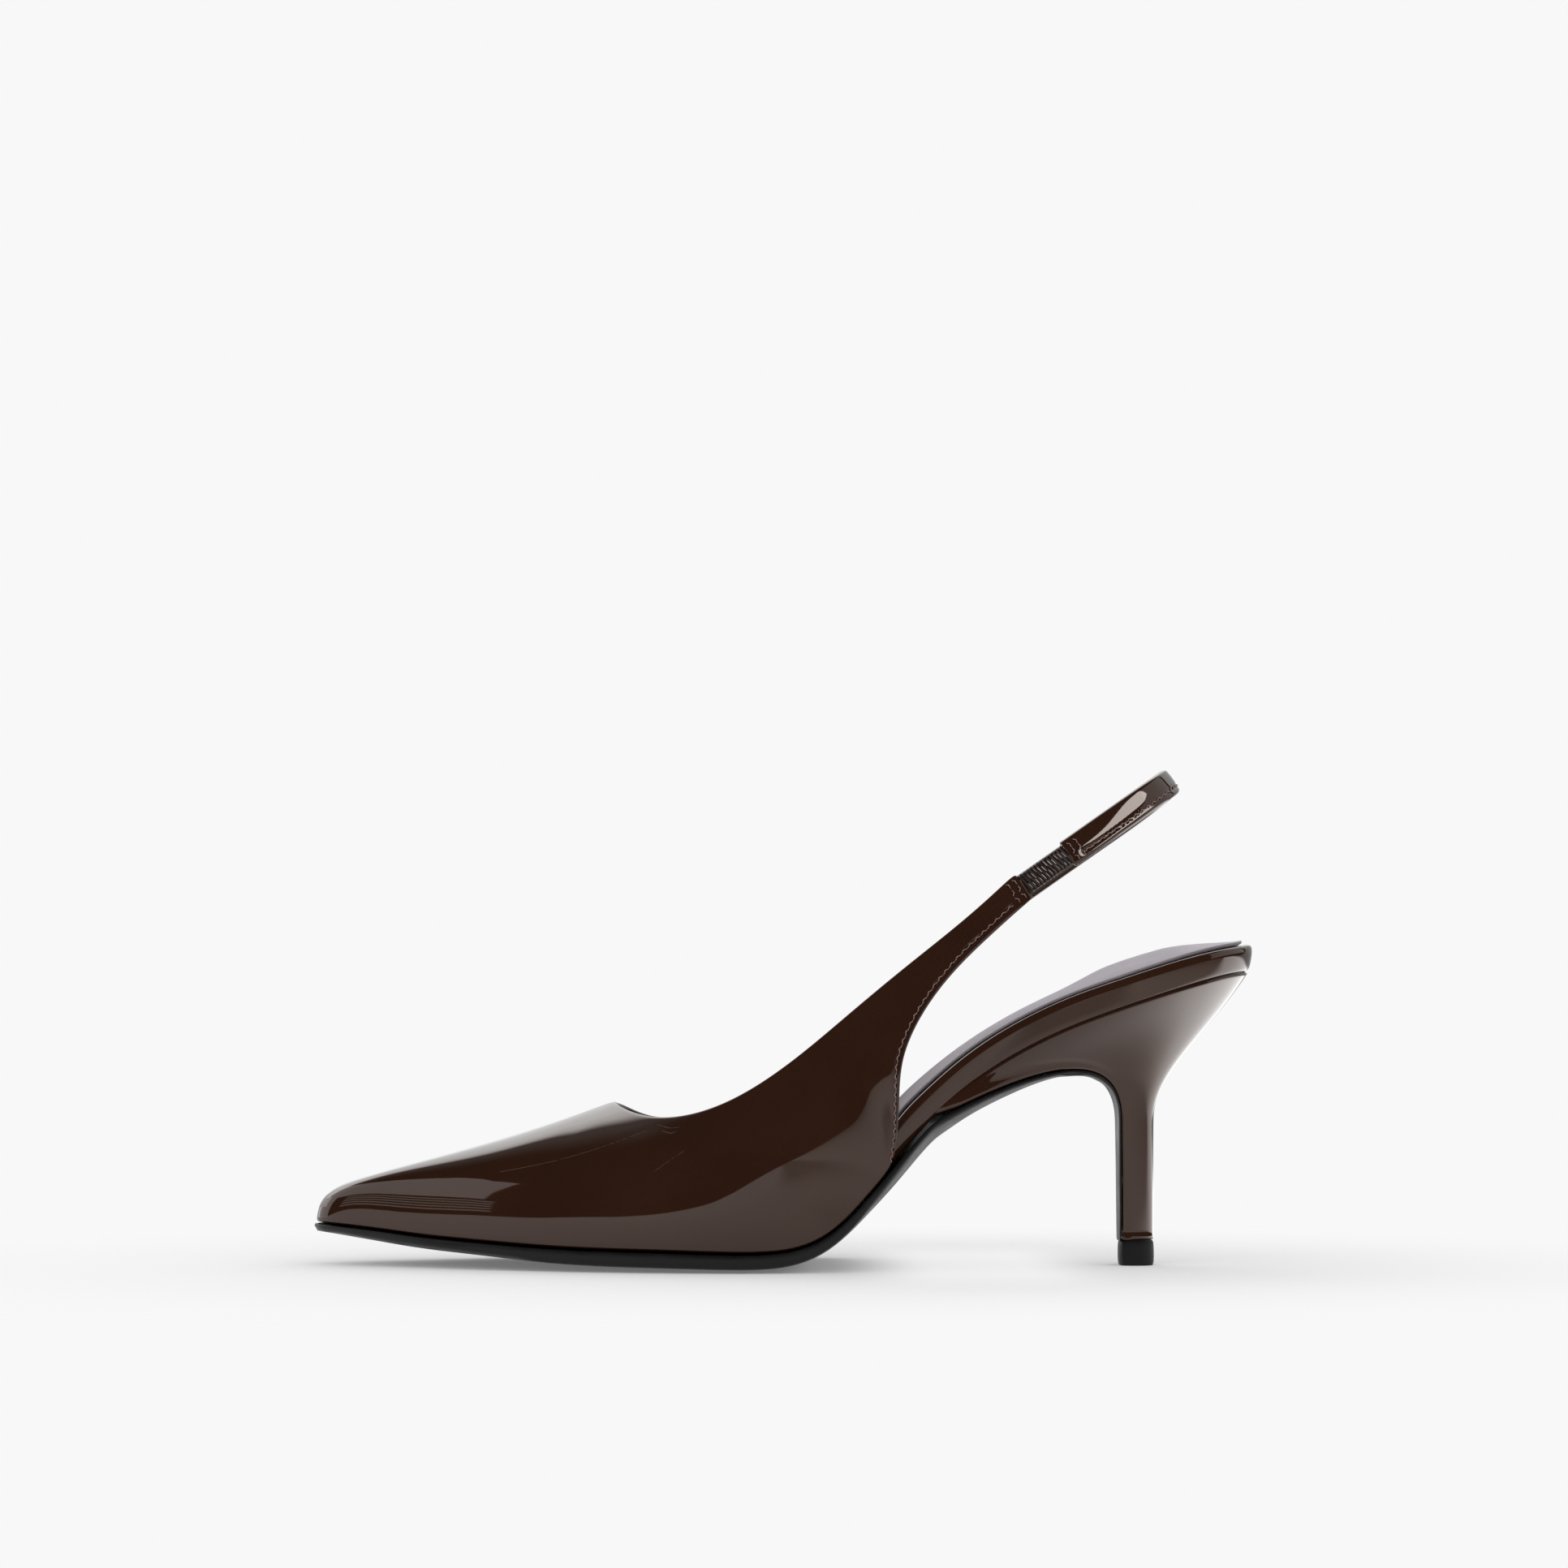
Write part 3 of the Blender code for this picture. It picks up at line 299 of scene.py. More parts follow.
def pick_faces(piece, test):
    """Select only the faces that pass a test; edit mode."""
    bpy.ops.mesh.select_mode(type="FACE")
    bpy.ops.mesh.select_all(action="DESELECT")
    mesh = bmesh.from_edit_mesh(piece.data)
    for face in mesh.faces:
        face.select_set(test(face.calc_center_median(), face.normal))
    bmesh.update_edit_mesh(piece.data)


def seat_faces(piece, test, inset, rise):
    """Raise hidden faces into the neighbouring piece, so that no light shows through the joint."""
    with editing(piece):
        pick_faces(piece, test)
        if inset:
            bpy.ops.mesh.inset(thickness=inset)
        bpy.ops.transform.shrink_fatten(value=rise)


def crease_sharp(piece, degrees, value, test=None):
    """Hold sharp edges of a piece against the subdivision, all or those that pass a test."""
    with editing(piece):
        bpy.ops.mesh.select_mode(type="EDGE")
        bpy.ops.mesh.select_all(action="DESELECT")
        bpy.ops.mesh.edges_select_sharp(sharpness=math.radians(degrees))
        mesh = bmesh.from_edit_mesh(piece.data)
        for edge in [edge for edge in mesh.edges if test and edge.select]:
            edge.select_set(test(0.5 * (edge.verts[0].co + edge.verts[1].co)))
        bmesh.update_edit_mesh(piece.data)
        bpy.ops.transform.edge_crease(value=value)


def subdivide(piece, levels):
    """Apply a Subdivision Surface and shade smooth."""
    select_only(piece)
    bpy.ops.object.modifier_add(type="SUBSURF")
    modifier = piece.modifiers[-1]
    modifier.levels = levels
    modifier.render_levels = levels
    bpy.ops.object.modifier_apply(modifier=modifier.name)
    bpy.ops.object.shade_smooth()


def keep(piece, slot, *nodes):
    """Ride on the shoe and stand for CAD nodes; the finish slot is not used."""
    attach(piece, "root")
    if nodes:
        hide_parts(*nodes)


def smooth_path(points, steps):
    """Points along a smooth curve through the given ones."""
    ends = [2.0 * points[0] - points[1], *points, 2.0 * points[-1] - points[-2]]
    path = []
    for a, b, c, d in zip(ends, ends[1:], ends[2:], ends[3:]):
        for i in range(steps):
            t = i / steps
            bow = (2.0 * a - 5.0 * b + 4.0 * c - d) * t ** 2 + (3.0 * b - a - 3.0 * c + d) * t ** 3
            path.append(0.5 * (2.0 * b + (c - a) * t + bow))
    return [*path, points[-1]]


def even_spots(line, pitch):
    """Points and headings spread evenly along a line, about a pitch apart."""
    runs = [0.0]
    for before, after in zip(line, line[1:]):
        runs.append(runs[-1] + (after - before).length)
    count = max(1, round(runs[-1] / pitch))
    spots = []
    i = 0
    for k in range(count):
        run = runs[-1] * (k + 0.5) / count
        while runs[i + 1] < run:
            i += 1
        step = line[i + 1] - line[i]
        spots.append((line[i] + step * ((run - runs[i]) / step.length), step.normalized()))
    return spots


def outward(point):
    """Direction away from the middle of the sling loop, or straight out from a wing."""
    forward = (point - LOOP_BACK).dot(LOOP_AHEAD) - LOOP_CENTRE
    return (min(forward, 0.0) * LOOP_AHEAD + Vector((0.0, point.y, 0.0))).normalized()


class Cover:
    """Outer surface of a finished piece, to lay seams on."""

    def __init__(self, piece):
        points = [vert.co.copy() for vert in piece.data.vertices]
        faces = [tuple(face.vertices) for face in piece.data.polygons]
        self.tree = BVHTree.FromPolygons(points, faces)

    def meet(self, point):
        """Place and normal where a line from outside, through a point, meets the surface."""
        out = outward(point)
        place, normal = self.tree.ray_cast(point + LAY_START * out, -out, LAY_REACH)[:2]
        if place is None:
            raise RuntimeError("A seam runs off its piece.")
        return place, normal

    def top(self, x, y):
        """Highest place of the surface over a point of the floor."""
        return self.tree.ray_cast(Vector((x, y, LAY_HEIGHT)), Vector((0.0, 0.0, -1.0)))[0]

    def line(self, points):
        """The points laid on the surface."""
        return [self.meet(point)[0] for point in points]

    def spots(self, points, pitch, turn=0.0, sway=0.0):
        """Places, headings, normals and turns of evenly spaced stitches; sway alternates the turn."""
        spots = []
        for i, (point, heading) in enumerate(even_spots(self.line(points), pitch)):
            place, normal = self.meet(point)
            spots.append((place, heading, normal, turn + sway * (-1) ** i))
        return spots


def wing_seam(side):
    """Path of the seam along the wing's rear edge on one side."""
    drop = INNER_DROP if side == INNER else 0.0
    rows = [Vector((x, side * WING_SIDE, z - drop * min(1.0, INNER_DROP_STEP * i)))
            for i, (x, z) in enumerate(WING_SEAM)]
    return smooth_path(rows[::-side], PATH_STEPS)


def crease_paths():
    """Paths of the creases on the vamp."""
    for crease in CREASES:
        yield smooth_path([Vector((x, -CREASE_SIDE, z)) for x, z in crease], PATH_STEPS)


def front_strap_rows(side):
    """Paths of the two rows across the front strap's end on one side."""
    drop = INNER_DROP if side == INNER else 0.0
    for row in FRONT_STRAP_ROWS:
        first, second = (Vector((x, side * FRONT_STRAP_SIDE, z - drop)) for x, z in row)
        yield [first, 0.5 * (first + second), second]


def loop_point(forward, y, across):
    """Point near the sling strap: forward of its back, at a side, above its middle line."""
    drop = INNER_DROP * min(1.0, y / INNER_DROP_REACH) if y > 0.0 else 0.0
    return LOOP_BACK + forward * LOOP_AHEAD + across * LOOP_UP + Vector((0.0, y, -drop))


def strap_seam():
    """Path of the seam along the lower edge of the sling strap."""
    points = [loop_point(forward, y, STRAP_SEAM_ACROSS) for forward, y in STRAP_SEAM]
    return smooth_path(points, PATH_STEPS)


def strap_rows():
    """Paths of the rows across the ends of the sling strap."""
    for y, forward in STRAP_ROWS:
        yield [loop_point(forward, y, across * STRAP_ROW_REACH) for across in (1.0, 0.0, -1.0)]


def press(piece, line, depth, width):
    """Press a soft trough into a piece along a line; a negative depth lifts a ridge."""
    tree = KDTree(len(line))
    for i, point in enumerate(line):
        tree.insert(point, i)
    tree.balance()
    normals = [vert.normal.copy() for vert in piece.data.vertices]
    for vert, normal in zip(piece.data.vertices, normals):
        distance = tree.find(vert.co)[2]
        if distance < 3.0 * width:
            vert.co -= depth * math.exp(-(distance / width) ** 2) * normal
    piece.data.update()


def long_bead(size, segments, rings):
    """Bead drawn out along X."""
    bpy.ops.object.select_all(action="DESELECT")
    bpy.ops.mesh.primitive_uv_sphere_add(segments=segments, ring_count=rings, radius=0.5)
    bead = bpy.context.active_object
    with editing(bead):
        bpy.ops.mesh.select_all(action="SELECT")
        bpy.ops.transform.rotate(value=0.5 * math.pi, orient_axis="Y", center_override=(0.0, 0.0, 0.0))
        bpy.ops.transform.resize(value=size)
    bpy.ops.object.shade_smooth()
    return bead


def stitch_unit(sewing, length):
    """One thread that bends round its needle hole."""
    thread = long_bead((length, sewing.thread, sewing.thread), 6, 9)
    for vert in thread.data.vertices:
        hook = math.exp(-(vert.co.x / (HOOK_SPREAD * length)) ** 2)
        vert.co.y += sewing.hook * (hook - HOOK_MIDDLE)
        vert.co.z += THREAD_LIFT * sewing.thread
    thread.data.materials.append(bpy.data.materials["waxed_thread"])
    # Needle hole: a dark flattened bead on the leather, painted shade where the hole would be
    hole = long_bead(tuple(part * sewing.hole for part in HOLE_SHAPE), 8, 4)
    for vert in hole.data.vertices:
        vert.co.y -= HOLE_SHIFT * sewing.hole
    hole.data.materials.append(bpy.data.materials["needle_hole_shade"])
    bpy.ops.object.select_all(action="DESELECT")
    hole.select_set(True)
    thread.select_set(True)
    bpy.context.view_layer.objects.active = thread
    bpy.ops.object.join()
    return thread


def lay_copies(name, unit, spots, slot):
    """Copies of a unit at the spots of a surface, joined into one piece."""
    bpy.ops.object.select_all(action="DESELECT")
    for place, heading, normal, turn in spots:
        copy = bpy.data.objects.new(name, unit.data.copy())
        bpy.context.scene.collection.objects.link(copy)
        side = normal.cross(heading).normalized()
        axes = Matrix((side.cross(normal), side, normal)).transposed().to_4x4()
        copy.data.transform(Matrix.Translation(place) @ axes @ Matrix.Rotation(turn, 4, "Z"))
        copy.select_set(True)
        bpy.context.view_layer.objects.active = copy
    bpy.ops.object.join()
    piece = bpy.context.active_object
    piece.name = name
    keep(piece, slot)
    return piece


def add_node(tree, kind, **values):
    """Shader node with input values by name."""
    node = tree.nodes.new(kind)
    for name, value in values.items():
        node.inputs[name.replace("_", " ")].default_value = value
    return node


def new_group(name, inputs, outputs):
    """Shader node group with number inputs beside its place input, and number outputs."""
    group = bpy.data.node_groups.new(name, "ShaderNodeTree")
    group.interface.new_socket("Place", in_out="INPUT", socket_type="NodeSocketVector")
    for label, default in inputs:
        socket = group.interface.new_socket(label, in_out="INPUT", socket_type="NodeSocketFloat")
        socket.default_value = default
    for label in outputs:
        group.interface.new_socket(label, in_out="OUTPUT", socket_type="NodeSocketFloat")
    return group, group.nodes.new("NodeGroupInput"), group.nodes.new("NodeGroupOutput")


def worked(tree, operation, *values):
    """Result of a sum on numbers or sockets."""
    node = tree.nodes.new("ShaderNodeMath")
    node.operation = operation
    for socket, value in zip(node.inputs, values):
        if isinstance(value, float):
            socket.default_value = value
        else:
            tree.links.new(value, socket)
    return node.outputs["Value"]


def ramped(tree, value, start, end, low=0.0, high=1.0, kind="SMOOTHSTEP"):
    """A socket's value carried from one range to another."""
    node = add_node(tree, "ShaderNodeMapRange", From_Min=start, From_Max=end, To_Min=low, To_Max=high)
    node.interpolation_type = kind
    tree.links.new(value, node.inputs["Value"])
    return node.outputs["Result"]


def film_ripple_group():
    """Slow waves, fine peel and smudges of a lacquer film."""
    group, given, result = new_group("film_ripple", (("Wave scale", 62.0), ("Peel", 0.018)),
                                     ("Height", "Smudge"))
    wave = add_node(group, "ShaderNodeTexNoise", Detail=2.0, Roughness=0.5)
    peel = add_node(group, "ShaderNodeTexNoise", Scale=720.0, Detail=2.0)
    total = group.nodes.new("ShaderNodeMath")
    total.operation = "MULTIPLY_ADD"
    smudge = add_node(group, "ShaderNodeTexNoise", Scale=45.0, Detail=2.0, Roughness=0.5, Distortion=0.4)
    for node in (wave, peel, smudge):
        group.links.new(given.outputs["Place"], node.inputs["Vector"])
    group.links.new(given.outputs["Wave scale"], wave.inputs["Scale"])
    group.links.new(peel.outputs["Fac"], total.inputs[0])
    group.links.new(given.outputs["Peel"], total.inputs[1])
    group.links.new(wave.outputs["Fac"], total.inputs[2])
    group.links.new(total.outputs["Value"], result.inputs["Height"])
    group.links.new(smudge.outputs["Fac"], result.inputs["Smudge"])


def hide_grain_group():
    """Pebbled grain of leather and slow changes of its tone."""
    group, given, result = new_group("hide_grain", (("Pebble scale", 1500.0), ("Tone scale", 60.0)),
                                     ("Height", "Tone"))
    pebble = add_node(group, "ShaderNodeTexVoronoi", Randomness=0.9)
    pebble.feature = "SMOOTH_F1"
    fine = add_node(group, "ShaderNodeTexNoise", Detail=3.0)
    total = add_node(group, "ShaderNodeMath")
    total.operation = "MULTIPLY_ADD"
    total.inputs[1].default_value = -0.7
    tone = add_node(group, "ShaderNodeTexNoise", Detail=4.0, Roughness=0.6)
    for node in (pebble, fine, tone):
        group.links.new(given.outputs["Place"], node.inputs["Vector"])
    group.links.new(given.outputs["Pebble scale"], pebble.inputs["Scale"])
    group.links.new(given.outputs["Pebble scale"], fine.inputs["Scale"])
    group.links.new(given.outputs["Tone scale"], tone.inputs["Scale"])
    group.links.new(pebble.outputs["Distance"], total.inputs[0])
    group.links.new(fine.outputs["Fac"], total.inputs[2])
    group.links.new(total.outputs["Value"], result.inputs["Height"])
    group.links.new(tone.outputs["Fac"], result.inputs["Tone"])


def handling_marks_group():
    """Fine streaks along the shoe and soft rub marks, as floor and hands leave them."""
    group, given, result = new_group("handling_marks", (("Streak scale", 900.0), ("Rub scale", 140.0)),
                                     ("Streaks", "Rub"))
    stretch = add_node(group, "ShaderNodeMapping", Scale=(0.12, 1.0, 0.6))
    streaks = add_node(group, "ShaderNodeTexNoise", Detail=3.0, Roughness=0.6)
    rub = add_node(group, "ShaderNodeTexNoise", Detail=5.0, Roughness=0.7)
    group.links.new(given.outputs["Place"], stretch.inputs["Vector"])
    group.links.new(stretch.outputs["Vector"], streaks.inputs["Vector"])
    group.links.new(given.outputs["Place"], rub.inputs["Vector"])
    group.links.new(given.outputs["Streak scale"], streaks.inputs["Scale"])
    group.links.new(given.outputs["Rub scale"], rub.inputs["Scale"])
    group.links.new(streaks.outputs["Fac"], result.inputs["Streaks"])
    group.links.new(rub.outputs["Fac"], result.inputs["Rub"])


def placed_group(tree, name, place, **values):
    """A node group in a material, reading Object coordinates."""
    node = tree.nodes.new("ShaderNodeGroup")
    node.node_tree = bpy.data.node_groups[name]
    tree.links.new(place, node.inputs["Place"])
    for label, value in values.items():
        node.inputs[label.replace("_", " ")].default_value = value
    return node.outputs


def new_material(name, colour, roughness):
    """New material: its tree, its Principled shader and an Object coordinate output."""
    surface = bpy.data.materials.new(name)
    surface.use_nodes = True
    tree = surface.node_tree
    shader = tree.nodes["Principled BSDF"]
    shader.inputs["Base Color"].default_value = (*colour, 1.0)
    shader.inputs["Roughness"].default_value = roughness
    surface.diffuse_color = (*colour, 1.0)
    place = tree.nodes.new("ShaderNodeTexCoord").outputs["Object"]
    return tree, shader, place


def two_tone(tree, shader, mask, colour, low, high):
    """Base colour that runs between a darker and a lighter tone."""
    mix = tree.nodes.new("ShaderNodeMix")
    mix.data_type = "RGBA"
    mix.inputs[6].default_value = (*(low * part for part in colour), 1.0)
    mix.inputs[7].default_value = (*(high * part for part in colour), 1.0)
    spread = add_node(tree, "ShaderNodeMapRange", From_Min=0.3, From_Max=0.7)
    tree.links.new(mask, spread.inputs["Value"])
    tree.links.new(spread.outputs["Result"], mix.inputs[0])
    tree.links.new(mix.outputs[2], shader.inputs["Base Color"])


def varied_roughness(tree, shader, mask, low, high):
    """Roughness that runs between two values."""
    spread = add_node(tree, "ShaderNodeMapRange", From_Min=0.3, From_Max=0.7, To_Min=low, To_Max=high)
    tree.links.new(mask, spread.inputs["Value"])
    tree.links.new(spread.outputs["Result"], shader.inputs["Roughness"])


def relief(tree, shader, height, distance):
    """Bump of a given depth."""
    bump = add_node(tree, "ShaderNodeBump", Strength=1.0, Distance=distance)
    tree.links.new(height, bump.inputs["Height"])
    tree.links.new(bump.outputs["Normal"], shader.inputs["Normal"])


def patent_material(finish):
    """Deep brown leather under a clear glossy film."""
    tree, shader, place = new_material("brown_patent", finish.patent, 0.04)
    shader.inputs["IOR"].default_value = 1.60
    shader.inputs["Specular Tint"].default_value = (1.0, 0.88, 0.82, 1.0)
    film = placed_group(tree, "film_ripple", place)
    two_tone(tree, shader, film["Smudge"], finish.patent, 0.90, 1.08)
    varied_roughness(tree, shader, film["Smudge"], 0.030, 0.052)
    relief(tree, shader, film["Height"], 0.00004)


def leather_material(name, colour, pebble_scale, depth, sheen):
    """Soft leather with a pebbled grain and a pale sheen."""
    tree, shader, place = new_material(name, colour, 0.5)
    shader.inputs["Sheen Weight"].default_value = sheen
    shader.inputs["Sheen Roughness"].default_value = 0.45
    shader.inputs["Sheen Tint"].default_value = (0.86, 0.82, 0.95, 1.0)
    grain = placed_group(tree, "hide_grain", place, Pebble_scale=pebble_scale)
    two_tone(tree, shader, grain["Tone"], colour, 0.95, 1.05)
    varied_roughness(tree, shader, grain["Tone"], 0.46, 0.60)
    relief(tree, shader, grain["Height"], depth)


def marked_material(name, colour, low, high, streak_scale, depth):
    """Sole leather or rubber with streaks and rub marks."""
    tree, shader, place = new_material(name, colour, low)
    marks = placed_group(tree, "handling_marks", place, Streak_scale=streak_scale)
    two_tone(tree, shader, marks["Rub"], colour, 0.8, 1.35)
    varied_roughness(tree, shader, marks["Rub"], low, high)
    relief(tree, shader, marks["Streaks"], depth)
    shader.inputs["Specular IOR Level"].default_value = 0.28


def thread_material(name, colour, roughness):
    """Twisted thread."""
    tree, shader, place = new_material(name, colour, roughness)
    twist = add_node(tree, "ShaderNodeTexWave", Scale=900.0, Distortion=1.5)
    twist.bands_direction = "DIAGONAL"
    tree.links.new(place, twist.inputs["Vector"])
    two_tone(tree, shader, twist.outputs["Fac"], colour, 0.75, 1.25)
    relief(tree, shader, twist.outputs["Fac"], 0.00004)


def woven_material(name, colour):
    """Close dark weave of the elastic's ground."""
    tree, shader, place = new_material(name, colour, 0.7)
    turn = add_node(tree, "ShaderNodeMapping", Rotation=(0.0, LOOP_TILT, 0.0))
    weave = add_node(tree, "ShaderNodeTexWave", Scale=520.0, Distortion=0.6)
    weave.bands_direction = "Z"
    tree.links.new(place, turn.inputs["Vector"])
    tree.links.new(turn.outputs["Vector"], weave.inputs["Vector"])
    two_tone(tree, shader, weave.outputs["Fac"], colour, 0.6, 1.5)
    relief(tree, shader, weave.outputs["Fac"], 0.00008)


def make_materials(finish):
    """All finishes of the shoe."""
    film_ripple_group()
    hide_grain_group()
    handling_marks_group()
    patent_material(finish)
    leather_material("taupe_sock", finish.sock, 1500.0, 0.000060, 0.35)
    leather_material("taupe_lining", finish.lining, 2300.0, 0.000018, 0.15)
    marked_material("black_sole", finish.sole, 0.28, 0.44, 900.0, 0.00002)
    marked_material("black_rubber", finish.rubber, 0.42, 0.62, 1500.0, 0.00003)
    thread_material("waxed_thread", finish.thread, 0.38)
    thread_material("elastic_cord", finish.elastic_rib, 0.34)
    thread_material("elastic_thread_highlight", finish.elastic_thread_highlight, 0.30)
    woven_material("woven_elastic", finish.elastic)
    # Painted highlight in the vamp's creases
    marked_material("crease_highlight_paint", finish.crease, 0.30, 0.50, 1500.0, 0.00001)
    marked_material("needle_hole_shade", finish.needle_hole_shade, 0.8, 0.95, 1500.0, 0.00001)


class SHOE_OT_stage(bpy.types.Operator):
    """Make the floor, backdrop, lights and camera"""

    bl_idname = "shoe.stage"
    bl_label = "Studio"

    def execute(self, context):
        stage = context.scene.shoe_stage
        self.floor(stage)
        self.lights(stage)
        self.surroundings(stage)
        self.camera(context, stage)
        context.scene.view_settings.view_transform = "Standard"
        return {"FINISHED"}

    def floor(self, stage):
        """White paper sweep: floor, curve and backdrop."""
        bpy.ops.object.select_all(action="DESELECT")
        depth = stage.table_front + stage.table_back
        bpy.ops.mesh.primitive_plane_add(size=1.0, location=(0.0, 0.0, 0.0))
        floor = bpy.context.active_object
        floor.name = "paper_sweep"
        with editing(floor):
            bpy.ops.transform.resize(value=(2.0 * stage.table_half, depth, 1.0))
            bpy.ops.transform.translate(value=(0.0, 0.5 * (stage.table_back - stage.table_front), 0.0))
            bpy.ops.mesh.select_mode(type="EDGE")
            bpy.ops.mesh.select_all(action="DESELECT")
            mesh = bmesh.from_edit_mesh(floor.data)
            for edge in mesh.edges:
                edge.select_set(all(vert.co.y > stage.table_back - MERGE for vert in edge.verts))
            bmesh.update_edit_mesh(floor.data)
            bpy.ops.mesh.extrude_region_move(TRANSFORM_OT_translate={"value": (0.0, 0.0, stage.wall)})
            bpy.ops.mesh.select_all(action="DESELECT")
            mesh = bmesh.from_edit_mesh(floor.data)
            for edge in mesh.edges:
                edge.select_set(all(vert.co.y > stage.table_back - MERGE and vert.co.z < MERGE
                                    for vert in edge.verts))
            bmesh.update_edit_mesh(floor.data)
            bpy.ops.mesh.bevel(offset=stage.sweep, segments=16)
        bpy.ops.object.shade_smooth()
        floor.data.materials.append(self.paper(stage))

    def paper(self, stage):
        """White paper that takes shadow near the shoe and is even further out."""
        surface = bpy.data.materials.new("paper")
        surface.use_nodes = True
        tree = surface.node_tree
        shader = tree.nodes["Principled BSDF"]
        shader.inputs["Base Color"].default_value = (PAPER_TONE, PAPER_TONE, PAPER_TONE, 1.0)
        shader.inputs["Roughness"].default_value = 1.0
        shader.inputs["Specular IOR Level"].default_value = 0.0
        shader.inputs["Emission Color"].default_value = (1.0, 1.0, 1.0, 1.0)
        shader.inputs["Emission Strength"].default_value = PAPER_GLOW
        place = tree.nodes.new("ShaderNodeTexCoord").outputs["Object"]
        axes = tree.nodes.new("ShaderNodeSeparateXYZ")
        tree.links.new(place, axes.inputs["Vector"])
        x, y, z = axes.outputs
        seen = tree.nodes.new("ShaderNodeLightPath").outputs["Is Glossy Ray"]
        level = add_node(tree, "ShaderNodeMix", A=stage.white)
        tree.links.new(seen, level.inputs["Factor"])
        tree.links.new(self.reflected_level(tree, stage, x, z), level.inputs["B"])
        even = add_node(tree, "ShaderNodeEmission", Color=(1.0, 1.0, 1.0, 1.0))
        tree.links.new(level.outputs["Result"], even.inputs["Strength"])
        mix = tree.nodes.new("ShaderNodeMixShader")
        tree.links.new(self.evenness(tree, place, x, y), mix.inputs["Fac"])
        tree.links.new(shader.outputs["BSDF"], mix.inputs[1])
        tree.links.new(even.outputs["Emission"], mix.inputs[2])
        shine = add_node(tree, "ShaderNodeEmission", Color=(1.0, 1.0, 1.0, 1.0))
        light = worked(tree, "MULTIPLY", self.heel_light(tree, stage, x, y), seen)
        tree.links.new(light, shine.inputs["Strength"])
        whole = tree.nodes.new("ShaderNodeAddShader")
        tree.links.new(mix.outputs["Shader"], whole.inputs[0])
        tree.links.new(shine.outputs["Emission"], whole.inputs[1])
        tree.links.new(whole.outputs["Shader"], tree.nodes["Material Output"].inputs["Surface"])
        return surface

    def reflected_level(self, tree, stage, x, z):
        """Brightness of the paper in reflections: by height, to the right, and painted shade under the arch.
        """
        rise = worked(tree, "MULTIPLY", ramped(tree, z, *WALL_RISE, stage.white, stage.wall_gain, "LINEAR"),
                      ramped(tree, z, *WALL_LIFT, 1.0, LIFT_LEVEL))
        fade = ramped(tree, z, *WALL_FADE, 1.0, FADE_LEVEL)
        dim = ramped(tree, x, *DIM_X, 1.0, DIM_LEVEL, "LINEAR")
        apart = worked(tree, "ABSOLUTE", worked(tree, "SUBTRACT", x, SHADE_X))
        shade = worked(tree, "MAXIMUM", ramped(tree, apart, *SHADE_ALONG, SHADE_LEVEL, 1.0),
                       ramped(tree, z, *SHADE_UP))
        return worked(tree, "MULTIPLY", worked(tree, "MULTIPLY", rise, fade),
                      worked(tree, "MULTIPLY", dim, shade))

    def evenness(self, tree, place, x, y):
        """How far the paper is even white: away from the shoe, and partly under the arch as painted light
        over the shadow.
        """
        stretch = add_node(tree, "ShaderNodeMapping", Scale=SHADOW_STRETCH)
        reach = tree.nodes.new("ShaderNodeVectorMath")
        reach.operation = "LENGTH"
        tree.links.new(place, stretch.inputs["Vector"])
        tree.links.new(stretch.outputs["Vector"], reach.inputs[0])
        away = ramped(tree, reach.outputs["Value"], *SHADOW_REACH)
        # Painted light: the floor glows under the arch to lift part of its shadow
        middle = worked(tree, "ABSOLUTE", worked(tree, "SUBTRACT", x, ARCH_X))
        arch = worked(tree, "MULTIPLY", ramped(tree, middle, *ARCH_ALONG, ARCH_PAINTED_LIGHT, 0.0),
                      ramped(tree, worked(tree, "ABSOLUTE", y), *ARCH_ACROSS, 1.0, 0.0))
        return worked(tree, "MAXIMUM", away, arch)

    def heel_light(self, tree, stage, x, y):
        """Extra light of the floor behind the heel."""
        patch = worked(tree, "MULTIPLY", ramped(tree, x, *HEEL_LIGHT_X, 0.0, stage.heel_gain),
                       ramped(tree, y, *HEEL_LIGHT_NEAR))
        return worked(tree, "MULTIPLY", patch, ramped(tree, y, *HEEL_LIGHT_FAR, 1.0, 0.0))

    def lights(self, stage):
        """Softboxes that show in reflections only, and a soft overhead light that shows in none."""
        self.softbox(*OVERHEAD, gloss=False)
        self.softbox(*LEFT_CARD, diffuse=False)
        self.softbox(*LOW_CARD, diffuse=False)
        for i in range(SLATS):
            height = SLAT_TOP - SLAT_STEP * i
            self.softbox("left_slat", (SLAT_X, SLAT_Y, height), (0.0, SLAT_Y, height), SLAT_SIZE, SLAT_POWER,
                         diffuse=False)
        self.softbox(*RIGHT_CARD, diffuse=False)
        self.softbox(*STRIP_LIGHT, along=STRIP_ALONG, diffuse=False)

